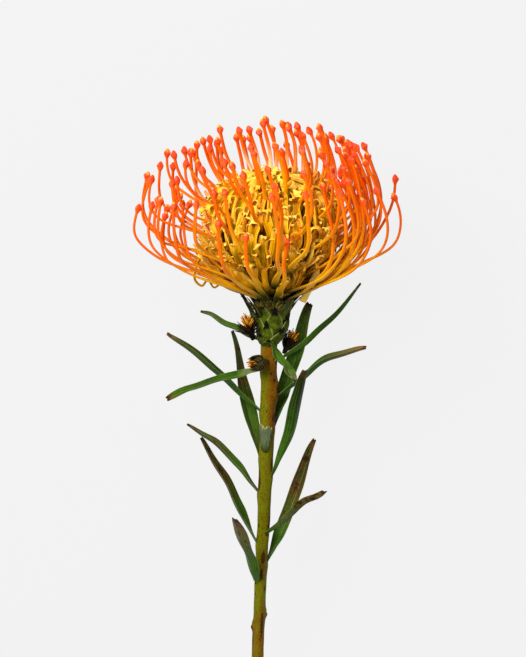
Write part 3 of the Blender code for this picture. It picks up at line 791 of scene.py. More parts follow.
def make_stem(look):
    """The stalk: a round skin whose radius has waves, a shoulder under each leaf, and scars.

    The last rings close the cut end, on the same plane with ever smaller radii.
    """
    z = np.linspace(-STEM_LENGTH, 0.4, STEM_ROWS)[:, None]
    angle = (np.arange(STEM_CORNERS) * 2 * math.pi / STEM_CORNERS)[None, :]
    waves = (0.05 * np.sin(3 * angle + 0.11 * z) + 0.04 * np.sin(5 * angle - 0.07 * z + 1.0)
             + 0.05 * np.sin(0.31 * z + angle) + 0.03 * np.sin(0.83 * z - 2 * angle))
    raised = np.zeros(waves.shape)
    scarred = np.zeros(waves.shape)
    for azimuth, height, size in SCARS:
        bump = spot(angle, z, azimuth, height, 17 * size, 1.5 * size)
        hollow = spot(angle, z, azimuth, height + 0.5, 8 * size, 0.6 * size)
        raised += look.scar_height * size * (bump - 0.7 * hollow)
        scarred += 0.75 * bump + 1.1 * hollow
    for _, azimuth, height, *_ in LEAVES:
        if height < 0:
            raised += 0.42 * spot(angle, z, azimuth, height - 1.4, 26, 2.6)
            scarred += 0.8 * spot(angle, z, azimuth, height - 0.4, 20, 1.1)
    blotch = sum(spot(angle, z, *place) for place in BLOTCHES)
    radius = stem_radius(z) - 0.06 + waves + raised
    right = np.cos(angle)
    upper = smooth_step(z, -40.0, -30.0)
    lower = smooth_step(-z, 106.0, 130.0)
    top = smooth_step(z, -12.0, -5.0)
    ochre = (0.56 + 0.4 * right + 0.3 * top) * upper + (0.34 + 0.12 * right) * (1 - upper)
    ochre += 0.28 * lower
    rings = np.array(CUT_RINGS)[::-1, None]
    cut_radius = rings * radius[:1]
    path_z = np.concatenate([np.full(len(rings), -STEM_LENGTH), z[:, 0]])
    path = np.stack([stem_centre(path_z), 0 * path_z, path_z], 1)
    full = np.concatenate([cut_radius, radius])
    # Up the stem, x cross y is the way of travel, so the loops run from x towards y.
    loops = np.stack([path[:, :1] + full * np.cos(angle), full * np.sin(angle),
                      np.broadcast_to(path_z[:, None], full.shape)], -1)
    wood = np.concatenate([np.ones(len(rings)), (z[:, 0] < -STEM_LENGTH + 0.02) * 0.5])[:, None]

    def padded(values):
        return np.concatenate([np.repeat(values[:1], len(rings), 0), values])

    skin = Skin()
    skin.add(loops, ochre=padded(ochre), blotch=padded(np.clip(blotch + scarred, 0, 1)), cut=wood)
    skin.shown("stem_bark", ["stem"], "stem_bark", bark_finish(look))


def make_stub(look):
    """The torn leaf base: a thin curved sheet clasping the stem, its top torn into points."""
    x, y = section(STUB_CORNERS, 0.6)
    along = np.linspace(0, 1, STUB_ROWS)[:, None]
    ragged = (0.55 * np.abs(np.sin(3.1 * x + 0.5)) + 0.3 * np.abs(np.sin(9.3 * x))
              + 0.15 * np.sin(23 * x))
    height = STUB_FOOT + (STUB_TOP - STUB_FOOT) * along * (1 - 0.26 * (1 - ragged))
    height = height + 0.9 * (1 - along) * x ** 2
    angle = np.radians(STUB_CENTRE + STUB_HALF_ANGLE * x * (0.6 + 0.4 * along))
    radius = stem_radius(height) + GAP + 0.15 + 0.5 * along + 0.34 * (1 - 0.5 * along) * y
    loops = np.stack([stem_centre(height) + radius * np.cos(angle), radius * np.sin(angle),
                      height], -1)
    skin = Skin()
    skin.add(loops, along=along)
    skin.shown("torn_leaf_base", ["torn_leaf_stub"], "stub_grey", stub_finish(look))


# ---------------------------------------------------------------------------------------------
# Receptacle
# ---------------------------------------------------------------------------------------------

CORE_ROWS = 60
CORE_CORNERS = 32
CORE_DEPTH = 0.9                # how far the core lies inside the receptacle's profile
SCALE_SEED = 41
SCALE_COUNT = 24
# One scale's tip in front, that the others spiral up and down from: azimuth and height
FRONT_SCALE = 14
FRONT_SCALE_AZIMUTH = math.radians(-77.0)
FRONT_SCALE_TIP = 17.6
NECK_RIM = 0.5
SPIKE_COUNT = 42
HAIR_COUNT = 11


def scale_blade(skin, azimuth, foot, tip, width, spread, corners=18, rows=22):
    """One scale: an ovate blade wrapped on the neck, ending in a narrow black point.

    Its half width rises as a sine to a third of its length and falls to the point, which takes
    its last quarter; its lift over the neck grows from foot to tip.
    """
    x, y = section(corners, 0.75)
    along = np.linspace(0, 1, rows)[:, None]
    belly = np.sin(math.pi * np.clip(along / 0.8, 0, 1) ** 0.8) ** 0.6
    point = 0.27 * smooth_step(along, 0.35, 0.7) * (1 - 0.9 * smooth_step(along, 0.84, 1.0))
    half = 0.5 * width * np.maximum(0.3 * (1 - along), np.maximum(belly, point))
    foot = max(foot, NECK_RIM)
    height = foot + (tip - foot) * along
    neck = receptacle_radius(height)
    middle = receptacle_centre(height)
    lift = -0.55 + (0.75 + spread) * along ** 1.2 + 0.2 * (1 - x ** 2) * (1 - along)
    radius = neck + lift + 0.24 * (1 - 0.6 * along) * y - 0.35 * x ** 2 * along
    angle = azimuth + half * x / np.maximum(neck, 3.0)
    loops = np.stack([middle + radius * np.cos(angle), radius * np.sin(angle),
                      height + 0 * radius], -1)
    skin.add(loops, along=along, edge=np.abs(x)[None, :] + 0 * along)


def make_receptacle(look):
    """The green core, wrapped in overlapping scales, with dark narrow bracts under the florets."""
    z = np.linspace(0.0, RECEPTACLE_PROFILE[-1][1], CORE_ROWS)
    path = np.stack([receptacle_centre(z), 0 * z, z], 1)
    x, y = section(CORE_CORNERS)
    radius = (receptacle_radius(z) - CORE_DEPTH)[:, None]
    loops = np.stack([path[:, :1] + radius * x, radius * y, z[:, None] + 0 * radius * x], -1)
    core = Skin()
    core.add(loops, along=0.2, edge=0.2)
    finish = scale_finish(look)
    core.shown("receptacle_core", ["receptacle"], "green_scales", finish)

    scales = Skin()
    rng = np.random.default_rng(SCALE_SEED)
    for k in range(SCALE_COUNT):
        tip = FRONT_SCALE_TIP + look.rise * (k - FRONT_SCALE)
        growth = 0.8 + 0.25 * smooth_step(tip, 3.0, 14.0)
        azimuth = FRONT_SCALE_AZIMUTH - (k - FRONT_SCALE) * GOLDEN_ANGLE + 0.07 * rng.normal()
        tip += 0.5 * rng.normal()
        scale_blade(scales, azimuth, tip - look.length * growth, tip,
                    look.width * growth * rng.uniform(0.85, 1.1), rng.uniform(0.1, 0.9))
    scales.shown("neck_scales", ["receptacle"], "green_scales", finish)
    spikes = Skin()
    for k in range(SPIKE_COUNT):
        azimuth = 2 * math.pi * (k + 0.7 * rng.random()) / SPIKE_COUNT
        foot = 13.0 + 5 * rng.random()
        scale_blade(spikes, azimuth, foot, foot + 6.5 + 3 * rng.random(), 2.6,
                    0.8 + 4.2 * rng.random() ** 1.5, 8, 14)
    spikes.shown("neck_spikes", ["receptacle"], "green_scales", scale_finish(look, True))
    hairs = Skin()
    for k in range(HAIR_COUNT):
        azimuth = math.pi * (k % 3 > 0) + 0.4 * rng.normal()
        foot = 11.5 + 5 * rng.random()
        scale_blade(hairs, azimuth, foot, foot + 4.5 + 3 * rng.random(), 1.5,
                    1.8 + 2.6 * rng.random(), 6, 14)
    black = Finish("dry_hairs", roughness=0.7, specular_ior_level=0.1)
    worn = black.mix(tuple(look.tip), srgb(58, 40, 16), black.noise(1.0, 3.0))
    hairs.shown("neck_hairs", ["receptacle"], "green_scales", black.finish(worn))


# ---------------------------------------------------------------------------------------------
# Pins
# ---------------------------------------------------------------------------------------------

PIN_SEED = 5000
PIN_LINE_POINTS = 240
PIN_LEAD = 2.4                  # how far a pin starts inside the cone
PIN_CORNERS = 12
SHAFT_ROWS = 40
KNOB_REACH = 5.2
# The knob: (length left to the tip, share of the knob's radius)
KNOB_PROFILE = ((0.0, 0.10), (0.25, 0.36), (0.8, 0.62), (1.35, 0.78), (1.6, 0.96), (2.0, 1.0),
                (2.7, 0.86), (3.6, 0.6), (4.4, 0.45), (5.2, 0.40))
# Lengths left to the tip at the rows of the knob
KNOB_ROWS = (4.8, 4.4, 4.0, 3.6, 3.2, 2.7, 2.3, 2.0, 1.8, 1.6, 1.45, 1.2, 0.8, 0.5, 0.25, 0.1, 0.0)
# How far a pin has narrowed from its foot's width to its neck's, as (share of its length, amount)
NARROWING = ((0.0, 0.2), (0.12, 0.0), (0.24, 0.14), (0.4, 0.55), (0.6, 0.84), (1.0, 1.0))
FOOT_DEPTH = 1.2
SURFACE_GAP = 0.05
# Crowded pins at the two sides: one in five at the left, the others at the right
CROWD_STRIDE = 5
CROWD_LEFT_DROP = 12
CROWD_SQUEEZE = 0.12


def floret(index):
    """Azimuth, foot, tip, start and tip angles, handle lengths, sway and squeeze of one pin.

    The spiral comes first, then the pins placed singly, then the crowded ones.
    """
    if index >= SPIRAL_STYLES + len(STRAY_STYLES):
        rng = np.random.default_rng(index)
        left = index % CROWD_STRIDE == 0
        azimuth = math.pi * left + 0.08 + 0.36 * rng.normal()
        tip = (rng.uniform(32, 42), rng.uniform(66, 85) - CROWD_LEFT_DROP * left)
        angles = (math.radians(rng.uniform(22, 36)), math.radians(rng.uniform(98, 124)))
        handles = (rng.uniform(28, 34), rng.uniform(24, 30))
        return azimuth, STRAY_FOOT, tip, angles, handles, 0.0, CROWD_SQUEEZE * (not left)
    if index >= SPIRAL_STYLES:
        degrees, radius, height, start, end, *handles = STRAY_STYLES[index - SPIRAL_STYLES]
        angles = (math.radians(start), math.radians(end))
        return math.radians(degrees), STRAY_FOOT, (radius, height), angles, handles, 0.0, 0.0
    inward = index / (SPIRAL_STYLES - 1)
    vary = np.random.default_rng(VARIATION_SEED + index).normal(0, 1, 8)
    azimuth = index * GOLDEN_ANGLE + 0.05 * vary[0] + FIRST_AZIMUTH
    foot_height = 23 + 27 * inward ** 0.9
    foot = (receptacle_radius(foot_height) + 0.8, foot_height)
    tip_radius = 49.5 - 33 * inward ** 1.6 + 1.5 * vary[1]
    slant = STYLE_SLANT * math.cos(azimuth) * tip_radius / 50
    tip = (tip_radius, 68.5 + 18 * inward ** 0.62 + 1.6 * vary[2] + slant)
    angles = (math.radians(24 + 52 * inward ** 0.8 + 3 * vary[3]),
              math.radians(112 - 12 * inward + 6 * vary[4]))
    handles = (38 - 20 * inward + 2 * vary[5], 33 - 16 * inward ** 0.8 + 2 * vary[6])
    squeeze = RIGHT_SQUEEZE * max(math.cos(azimuth), 0)
    return azimuth, foot, tip, angles, handles, 0.07 * vary[7], squeeze


def style_line(index, count):
    """The middle line of a pin: a cubic curve in its upright radial plane, with a slight sway.

    The crown drifts to the left above the dome.
    """
    azimuth, foot, tip, angles, handles, sway, squeeze = floret(index)
    start = np.array(foot)
    end = np.array(tip)
    leave = start + handles[0] * np.array([math.cos(angles[0]), math.sin(angles[0])])
    arrive = end - handles[1] * np.array([math.cos(angles[1]), math.sin(angles[1])])
    t = np.linspace(0, 1, count)
    plane = bezier(start, leave, arrive, end, t)
    plane[:, 0] = start[0] + (plane[:, 0] - start[0]) * (1 - squeeze * t ** 2 * (3 - 2 * t))
    turn = azimuth + sway * t ** 2
    rise = np.maximum(plane[:, 1] - DRIFT_START, 0) / DRIFT_RISE
    x = RECEPTACLE_X + plane[:, 0] * np.cos(turn) - CROWN_DRIFT * rise ** 2
    return np.stack([x, plane[:, 0] * np.sin(turn), plane[:, 1]], 1)


def add_pin(skin, index, look):
    """One pin: a grooved, flattened shaft that narrows upwards, and a shouldered, pointed knob.

    The section is an ellipse with a groove on its outer and inner side. On the knob it is round,
    with five faint ridges, and the shoulder stands out more on one side.
    """
    rng = np.random.default_rng(PIN_SEED + index)
    line = style_line(index, PIN_LINE_POINTS)
    t = np.linspace(0, 1, PIN_LINE_POINTS)[:, None]
    waves = np.sin(t * rng.uniform(7, 13, 3) + rng.uniform(0, 6, 3)) * rng.uniform(0.3, 0.8)
    line = line + waves * (4 * t * (1 - t)) ** 1.5
    line = np.vstack([line[0] - PIN_LEAD * unit(line[1] - line[0]), line])
    total = lengths_along(line)[-1]
    shaft = np.linspace(0, total - KNOB_REACH, SHAFT_ROWS)
    stations = np.concatenate([shaft, total - np.array(KNOB_ROWS)])
    path = above_surface(at_lengths(line, stations), 0.5 * look.knob_width + SURFACE_GAP)
    azimuth = floret(index)[0]
    outward = np.array([math.cos(azimuth), math.sin(azimuth), -0.6])
    side, up = carried(path, outward)
    left = (total - stations)[:, None]
    share = (stations / total)[:, None]
    on_knob = smooth_step(KNOB_REACH - left, 0.4, 2.4)
    x, y = section(PIN_CORNERS)
    angle = np.arctan2(y, x)
    narrowing = np.interp(share, *zip(*NARROWING))
    half_width = 0.5 * (look.foot_width + (look.neck_width - look.foot_width) * narrowing)
    deepening = smooth_step(share, 0.5, 1.0)
    half_depth = 0.5 * (FOOT_DEPTH + (look.neck_width - 0.05 - FOOT_DEPTH) * deepening)
    groove = 0.2 * np.exp(-((np.abs(y) - 1) / 0.25) ** 2) * (1 - on_knob) + 0 * share
    left_points, shares = (np.array(values) for values in zip(*KNOB_PROFILE))
    round_knob = 0.5 * look.knob_width * np.interp(left, left_points, shares)
    lean = rng.uniform(0, 2 * math.pi)
    shoulder = np.exp(-((left - 1.9) / 0.7) ** 2)
    round_knob = round_knob * (1 + 0.05 * np.cos(5 * angle) + 0.16 * shoulder * np.cos(angle - lean))
    width = half_width + (round_knob - half_width) * on_knob
    depth = half_depth + (round_knob - half_depth) * on_knob
    across = width * x * (1 - 0.3 * groove)
    lift = depth * y * (1 - groove)
    loops = loops_on(path, side, up, across, lift)
    facing_back = 0.5 + 0.5 * math.sin(azimuth)
    pollen = float(rng.random() < 0.12 + 0.75 * facing_back)
    ripe = share - 0.05 * math.cos(azimuth) - 0.17 * smooth_step(-math.sin(azimuth), 0.55, 0.95)
    # The groove and side marks also steer painted shade in the finish: it darkens the groove and the
    # flanks of the shaft.
    skin.add(loops, along=ripe, groove=groove * 5, knob=smooth_step(5.0 - left, 0.0, 5.0),
             side=np.abs(x)[None, :] ** 2 + 0 * share, tone=rng.random(), pollen=pollen,
             back=smooth_step(facing_back, 0.75, 0.95))


def make_pins(look):
    """Every pin: one piece for each one that the frame holds, the others in four whorls."""
    finish = pin_finish(look)
    framed = [*range(OUTER_STYLES), *range(OUTER_STYLES, SPIRAL_STYLES, INNER_STRIDE)]
    framed += range(SPIRAL_STYLES, SPIRAL_STYLES + len(STRAY_STYLES))
    for number, index in enumerate(framed, 1):
        skin = Skin()
        add_pin(skin, index, look)
        skin.shown(f"pin_{number:02d}", [f"style_{number:02d}"], "style_orange", finish)
    others = [index for index in range(SPIRAL_STYLES) if index not in framed]
    others += range(SPIRAL_STYLES + len(STRAY_STYLES),
                    SPIRAL_STYLES + len(STRAY_STYLES) + look.crowd)
    for number, whorl in enumerate(np.array_split(others, 4), 1):
        skin = Skin()
        for index in whorl:
            add_pin(skin, int(index), look)
        skin.shown(f"inner_pins_{number}", [], "style_orange", finish)


# ---------------------------------------------------------------------------------------------
# Perianths
# ---------------------------------------------------------------------------------------------

# The dome's skin, from its lower rim to its top, as (radius, height)
DOME_SKIN = ((17.0, 35.5), (21.5, 39.0), (24.5, 44.0), (25.6, 50.0), (25.0, 56.0), (22.5, 61.0),
             (18.0, 65.0), (12.0, 67.6), (6.0, 68.8), (0.6, 69.2))
# The heart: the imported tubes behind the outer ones, as (radius, height)
HEART_PROFILE = ((0.3, 27.0), (8.6, 27.5), (16.5, 35.5), (22.0, 42.0), (23.8, 50.0), (22.0, 58.0),
                 (16.3, 63.6), (7.9, 66.5), (0.3, 67.1))
HEART_RIBS = 34
HEART_ROWS = 60
HEART_CORNERS = 8 * HEART_RIBS
# No skirt tube covers the loose strip: its azimuth, and the cosine of the angle kept free
STRIP_AZIMUTH = math.radians(-29.0)
STRIP_CLEARANCE = 0.95
SHEATH_SEED = 9000
SKIRT_SEED = 9500
LOOP_SEED = 600
LOOP_ROWS = 44
STRIP_ROWS = 40
THREAD_ROWS = 90
TUBE_ROWS = 26
CURL_ROWS = 18


def dome_profile():
    """The dome's skin as a line in the radial plane of azimuth zero."""
    return np.array([(radius, 0.0, height) for radius, height in DOME_SKIN])


def dome_tube(azimuth, inward, rng, reach):
    """A tube on the dome: its middle line, and the azimuth at each of the line's points.

    In its radial plane it is a cubic curve from its foot on the cone to the dome's skin, then the
    skin's own curve for `reach`. Equal steps of `inward` cover equal areas of the skin.
    """
    profile = dome_profile()
    around = lengths_along(profile)
    rings = 0.5 * (profile[1:, 0] + profile[:-1, 0]) * np.diff(around)
    area = np.concatenate([[0.0], np.cumsum(rings)])
    final = max(np.interp(inward * area[-1], area, around) + 0.8 * rng.normal(), 2.5)
    touch = max(final - reach, 0.5)
    foot_height = 24.5 + 24 * inward
    start = np.array([receptacle_radius(foot_height) + 0.3, 0.0, foot_height])
    onto, ahead = at_lengths(profile, np.array([touch, touch + 1.0]))
    chord = np.linalg.norm(onto - start)
    slope = math.radians(28 + 50 * inward)
    leave = start + 0.4 * chord * np.array([math.cos(slope), 0.0, math.sin(slope)])
    arrive = onto - 0.4 * chord * unit(ahead - onto)
    t = np.linspace(0, 1, TUBE_ROWS // 2, endpoint=False)
    skin_part = at_lengths(profile, np.linspace(touch, final, TUBE_ROWS - len(t)))
    plane = np.concatenate([bezier(start, leave, arrive, onto, t), skin_part])
    return swayed(plane, azimuth, rng, (0.4 + 1.1 * rng.normal()) * (1 - 0.7 * inward))


def skirt_tube(azimuth, strap, rng):
    """A tube under the dome: out of the neck's rim, low at first, then steeper.

    A strap is a longer and lower one.
    """
    front = max(-math.sin(azimuth), 0.0)
    foot_height = rng.uniform(19.6, 27.0) + front
    slope = math.radians(rng.uniform(27, 38 if strap else 52) + 20 * front)
    reach = rng.uniform(14.0, 25.0) - 11.0 * (slope - 0.47) - 3.5 * math.cos(azimuth) + 4 * strap
    start = np.array([receptacle_radius(foot_height) - 0.6, 0.0, foot_height])
    end = start + reach * np.array([math.cos(slope), 0.0, math.sin(slope)])
    leave = start + 0.4 * reach * np.array([math.cos(slope - 0.2), 0.0, math.sin(slope - 0.2)])
    arrive = end - 0.4 * reach * np.array([math.cos(slope + 0.35), 0.0, math.sin(slope + 0.35)])
    plane = bezier(start, leave, arrive, end, np.linspace(0, 1, TUBE_ROWS))
    return swayed(plane, azimuth, rng, 0.5 * rng.normal())


def swayed(plane, azimuth, rng, lift):
    """A line of a radial plane, swung to its azimuth, lifted to its end and swaying sideways."""
    share = lengths_along(plane)
    share = share / share[-1]
    lifted = lift * share ** 3
    sway = 1.5 * rng.normal() * np.sin(math.pi * share * rng.uniform(0.8, 2.4)) * share
    turn = azimuth + sway / np.maximum(plane[:, 0], 5.0)
    radius = plane[:, 0] + lifted
    return np.stack([RECEPTACLE_X + radius * np.cos(turn), radius * np.sin(turn),
                     plane[:, 2] + 0.5 * lifted], 1), turn


def perianth_strand(skin, tube, turn, rng, half_width, curl, corners, lobes):
    """One tube or limb along its line, then curled over, its end cut into lobes.

    It rolls by turning its heading by an angle that grows along the curl, on a radius that
    shrinks, in a plane that `twist` turns away from the outward one. Its section is a flat oval,
    arched along the tube and flat on the roll.
    """
    share = lengths_along(tube)
    share = share / share[-1]
    heading = unit(tube[-1] - tube[-2])
    level = np.array([-math.sin(turn[-1]), math.cos(turn[-1]), 0.0])
    outward = unit(np.cross(level, heading))
    bend = math.cos(curl["twist"]) * outward + math.sin(curl["twist"]) * level
    bend = unit(bend - (bend @ heading) * heading)
    phase = np.linspace(0, 1, CURL_ROWS + 1)[1:]
    angle = curl["turns"] * 2 * math.pi * phase
    shrinking = curl["radius"] * (1 - 0.45 * phase)
    arc = shrinking * curl["turns"] * 2 * math.pi / CURL_ROWS
    middle = angle - 0.5 * angle[0]
    steps = np.cos(middle)[:, None] * heading + np.sin(middle)[:, None] * bend
    drift = np.cross(heading, bend) * curl["drift"] / CURL_ROWS
    roll = tube[-1] + np.cumsum(arc[:, None] * steps + drift, axis=0)
    path = np.concatenate([tube, roll])

    radial = np.stack([np.cos(turn), np.sin(turn), 0.0 * turn - 0.4], 1)
    twisting = smooth_step(share, 0.35, 1.0)[:, None]
    tube_facing = unit(radial * (1 - twisting) + bend * twisting)
    roll_facing = np.cos(angle)[:, None] * bend - np.sin(angle)[:, None] * heading
    side, up = carried(path, np.concatenate([tube_facing, roll_facing]))

    x, y = section(corners, 0.7)
    total = lengths_along(path)
    along = (total / total[-1])[:, None]
    rolled = np.concatenate([0 * share, phase])[:, None]
    swell = 0.5 + 0.5 * smooth_step(along, 0.0, 0.5)
    wave = 1 + 0.08 * np.sin(15 * along + 6 * rng.random())
    half = half_width * swell * wave * (1 - curl["narrow"] * smooth_step(rolled, 0.2, 1.0))
    arch = curl["arch"] * (1 - smooth_step(rolled, 0.0, 0.6)) * half
    ribs = 0.16 * np.cos(2 * math.pi * x) * half * smooth_step(along, 0.3, 0.6)
    lift = arch * (0.6 - x ** 2) + ribs + (0.24 + 0.1 * (1 - along)) * y * (1 - 0.3 * x ** 2)
    loops = loops_on(path, side, up, half * x, lift)
    tangent = unit(np.gradient(path, axis=0))
    cut = lobes * (-np.cos(2 * math.pi * x) - 0.5 * x ** 2) * smooth_step(rolled, 0.4, 1.0)
    loops = loops + cut[..., None] * tangent[:, None]
    # The edge mark steers painted light in the finish: shade down a tube's middle, highlight on its
    # rims.
    skin.add(loops, along=along, face=y[None, :] + 0 * along,
             edge=np.abs(x)[None, :] + 0 * along, tone=rng.random(),
             anther=curl["anther"] * smooth_step(rolled, 0.6, 0.9))


def sheath_curl(rng, inward):
    """How a broad sheath ends: nearly straight low on the dome, folded over higher, then rolled."""
    turns = np.interp(inward, (0.0, 0.3, 0.6, 1.0), (0.1, 0.2, 0.5, 0.85))
    radius = np.interp(inward, (0.0, 0.5, 1.0), (3.4, 2.0, 1.6))
    return {"turns": turns * rng.uniform(0.6, 1.4), "radius": radius * rng.uniform(0.8, 1.3),
            "twist": rng.normal() * (0.35 + 0.8 * inward), "drift": rng.normal() * 1.5 * inward,
            "narrow": 0.1 + 0.3 * inward, "anther": float(rng.random() < 0.15),
            "arch": rng.choice([0.75, 0.5, -0.7])}


def limb_curl(rng, inward):
    """How a narrow limb ends: a tight roll, turned any way, with a brown anther inside."""
    return {"turns": rng.uniform(0.25, 0.55) + 0.6 * inward * rng.random(),
            "radius": rng.uniform(1.2, 2.4), "twist": rng.normal() * (0.5 + 0.8 * inward),
            "drift": rng.normal() * 2.0, "narrow": 0.4,
            "anther": float(rng.random() < 0.5), "arch": 0.3}


def make_heart(look):
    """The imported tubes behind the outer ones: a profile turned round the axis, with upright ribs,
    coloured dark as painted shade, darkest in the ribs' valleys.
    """
    profile = np.array(HEART_PROFILE)
    rows = np.linspace(0, 1, HEART_ROWS)
    corners = np.linspace(0, 1, len(profile))
    radius, z = (np.interp(rows, corners, profile[:, k]) for k in (0, 1))
    angle = np.arange(HEART_CORNERS) * 2 * math.pi / HEART_CORNERS
    rib = np.cos(HEART_RIBS * angle[None, :] + 0.8 * np.sin(0.21 * z)[:, None])
    ring = radius[:, None] * (1 + 0.035 * rib)
    loops = np.stack([RECEPTACLE_X + ring * np.cos(angle), ring * np.sin(angle),
                      z[:, None] + 0 * ring], -1)
    skin = Skin()
    skin.add(loops, rib=rib)
    heart = Finish("heart_shade", roughness=0.8, specular_ior_level=0.06)
    grain = heart.noise(1.5, 3.0)
    # Painted shade: the ribs' valleys take the darkest tone, their crests the olive.
    crest = heart.step(heart.mark("rib") + 1.2 * (grain - 0.5), -0.6, 0.8)
    tone = heart.mix(tuple(look.shade), tuple(look.olive), crest)
    skin.shown("floret_heart", ["perianth_dome"], "perianth_yellow",
               heart.finish(tone, None, grain, 0.4))


def make_perianths(look):
    """The flower tubes: a broad sheath for each floret, and a narrow limb for two in three.

    Those of the skirt stand under the dome, around the feet of the pins.
    """
    make_heart(look)
    finish = perianth_finish(look)
    for number, ring in enumerate(np.array_split(np.arange(look.sheaths), 4), 1):
        sheaths, limbs = Skin(), Skin()
        for index in ring:
            rng = np.random.default_rng(SHEATH_SEED + index)
            inward = (index + 0.5) / look.sheaths
            azimuth = index * GOLDEN_ANGLE + 0.08 * rng.normal()
            line = dome_tube(azimuth, inward, rng, rng.uniform(4, 9))
            perianth_strand(sheaths, *line, rng, 0.5 * look.sheath_width * rng.uniform(0.8, 1.2),
                            sheath_curl(rng, inward), 12, 1.1 - 0.5 * inward)
            if index % 3:
                line = dome_tube(azimuth + rng.uniform(0.06, 0.16), inward, rng, rng.uniform(4, 10))
                perianth_strand(limbs, *line, rng, 0.5 * look.limb_width, limb_curl(rng, inward),
                                8, 0.0)
        sheaths.shown(f"floret_sheaths_{number}", ["perianth_dome"], "perianth_yellow", finish)
        limbs.shown(f"floret_limbs_{number}", ["perianth_dome"], "perianth_yellow", finish)
    lower, upper = Skin(), Skin()
    for index in range(look.skirt + look.straps):
        rng = np.random.default_rng(SKIRT_SEED + index)
        strap = index >= look.skirt
        if strap:
            azimuth = math.pi + 0.4 * rng.normal()
        else:
            azimuth = index * GOLDEN_ANGLE + 0.1 * rng.normal()
        line = skirt_tube(azimuth, strap, rng)
        if np.cos(azimuth - STRIP_AZIMUTH) > STRIP_CLEARANCE:
            continue
        half = 0.5 * look.skirt_width * (rng.uniform(0.75, 1.25) + 0.3 * strap)
        perianth_strand(upper if index % 2 else lower, *line, rng, half, sheath_curl(rng, 0.0),
                        10, 1.2)
    lower.shown("floret_skirt_1", ["perianth_dome"], "perianth_yellow", finish)
    upper.shown("floret_skirt_2", ["perianth_dome"], "perianth_yellow", finish)


def make_held_loops(look):
    """Pins whose knob is still held: thin loops out of the dome's skin, sideways, and back in."""
    profile = dome_profile()
    reach = lengths_along(profile)[-1]
    loops = Skin()
    for k in range(look.held_loops):
        rng = np.random.default_rng(LOOP_SEED + k)
        azimuth = math.pi * (k % 2) + 0.75 * rng.normal() - 0.25
        (radius, _, height), = at_lengths(profile, np.array([reach * rng.uniform(0.3, 0.85)]))
        outward = np.array([math.cos(azimuth), math.sin(azimuth), 0.0])
        level = np.array([-outward[1], outward[0], 0.0]) * rng.choice([-1, 1])
        start = np.array([RECEPTACLE_X, 0.0, height]) + (radius - 1.5) * outward
        out, rise, over = rng.uniform(3.5, 6.5), rng.uniform(2.0, 5.5), rng.uniform(2.0, 6.0)
        knots = [(0, -3, 0), (0.6 * out, 0.5 * rise, 0.1 * over), (out, rise, 0.5 * over),
                 (0.9 * out, 0.55 * rise, over), (0.2 * out, -0.3 * rise, 1.1 * over)]
        line = [start + a * outward + b * np.array([0.0, 0.0, 1.0]) + c * level
                for a, b, c in knots]
        path = smooth_path(line, LOOP_ROWS)
        side, up = carried(path, outward + 0.3)
        share = np.linspace(0, 1, LOOP_ROWS)[:, None]
        x, y = section(8)
        half = 0.62 - 0.12 * share
        # The side mark darkens the loops' flanks as painted shade in the pin finish.
        loops.add(loops_on(path, side, up, half * x, 0.5 * y + 0 * share),
                  along=0.42 + 0.25 * share, groove=0.0, knob=0.0, tone=rng.random(), pollen=0.0,
                  side=np.abs(x)[None, :] ** 2 + 0 * share, back=rng.uniform(0.0, 0.5))
    loops.shown("held_loops", [], "style_orange", pin_finish(bpy.context.scene.protea_pins))


def make_loose(look):
    """The pale flat strip and the thin curled thread that hang under the head."""
    x, y = section(14, 0.6)
    path = smooth_path(STRIP_POINTS, STRIP_ROWS)
    side, up = carried(path, np.array([0.3, -1.0, 0.2]))
    share = np.linspace(0, 1, STRIP_ROWS)[:, None]
    half = 1.45 - 0.6 * (1 - smooth_step(share, 0.0, 0.4)) + 0.08 * np.sin(14 * share)
    lift = 0.28 * y - 0.35 * x ** 2
    strip = Skin()
    strip.add(loops_on(path, side, up, half * x, lift + 0 * share), along=share)
    strip.shown("loose_strip", ["loose_perianth_strip"], "strip_yellow", strip_finish(look))

    x, y = section(8)
    path = smooth_path(CURL_POINTS, THREAD_ROWS)
    side, up = carried(path, np.array([0.0, -1.0, 0.1]))
    share = np.linspace(0, 1, THREAD_ROWS)[:, None]
    half = 0.62 - 0.25 * share
    curl = Skin()
    curl.add(loops_on(path, side, up, half * x, 0.3 * y + 0 * share), along=0.7 + 0 * share,
             face=y[None, :] + 0 * share, edge=np.abs(x)[None, :] + 0 * share, tone=0.5, anther=0.0)
    curl.shown("loose_thread", ["loose_perianth_curl"], "perianth_yellow", perianth_finish(look))


# ---------------------------------------------------------------------------------------------
# Leaves
# ---------------------------------------------------------------------------------------------

LEAF_ROWS = 96
LEAF_CORNERS = 36
LEAF_LINE_STEPS = 240
# Leaf colours
FRESH = (54, 92, 12)
LIGHT = (84, 104, 30)
DEEP = (34, 66, 4)
DARK = (26, 38, 6)
OLIVE = (66, 74, 26)
GREY_GREEN = (82, 92, 46)
PALE = (128, 130, 88)
DRY = (106, 84, 44)
TAN = (140, 100, 50)
RUST = (96, 50, 12)
BROWN = (62, 44, 10)
RED_BROWN = (78, 30, 8)
BLACKISH = (30, 24, 8)
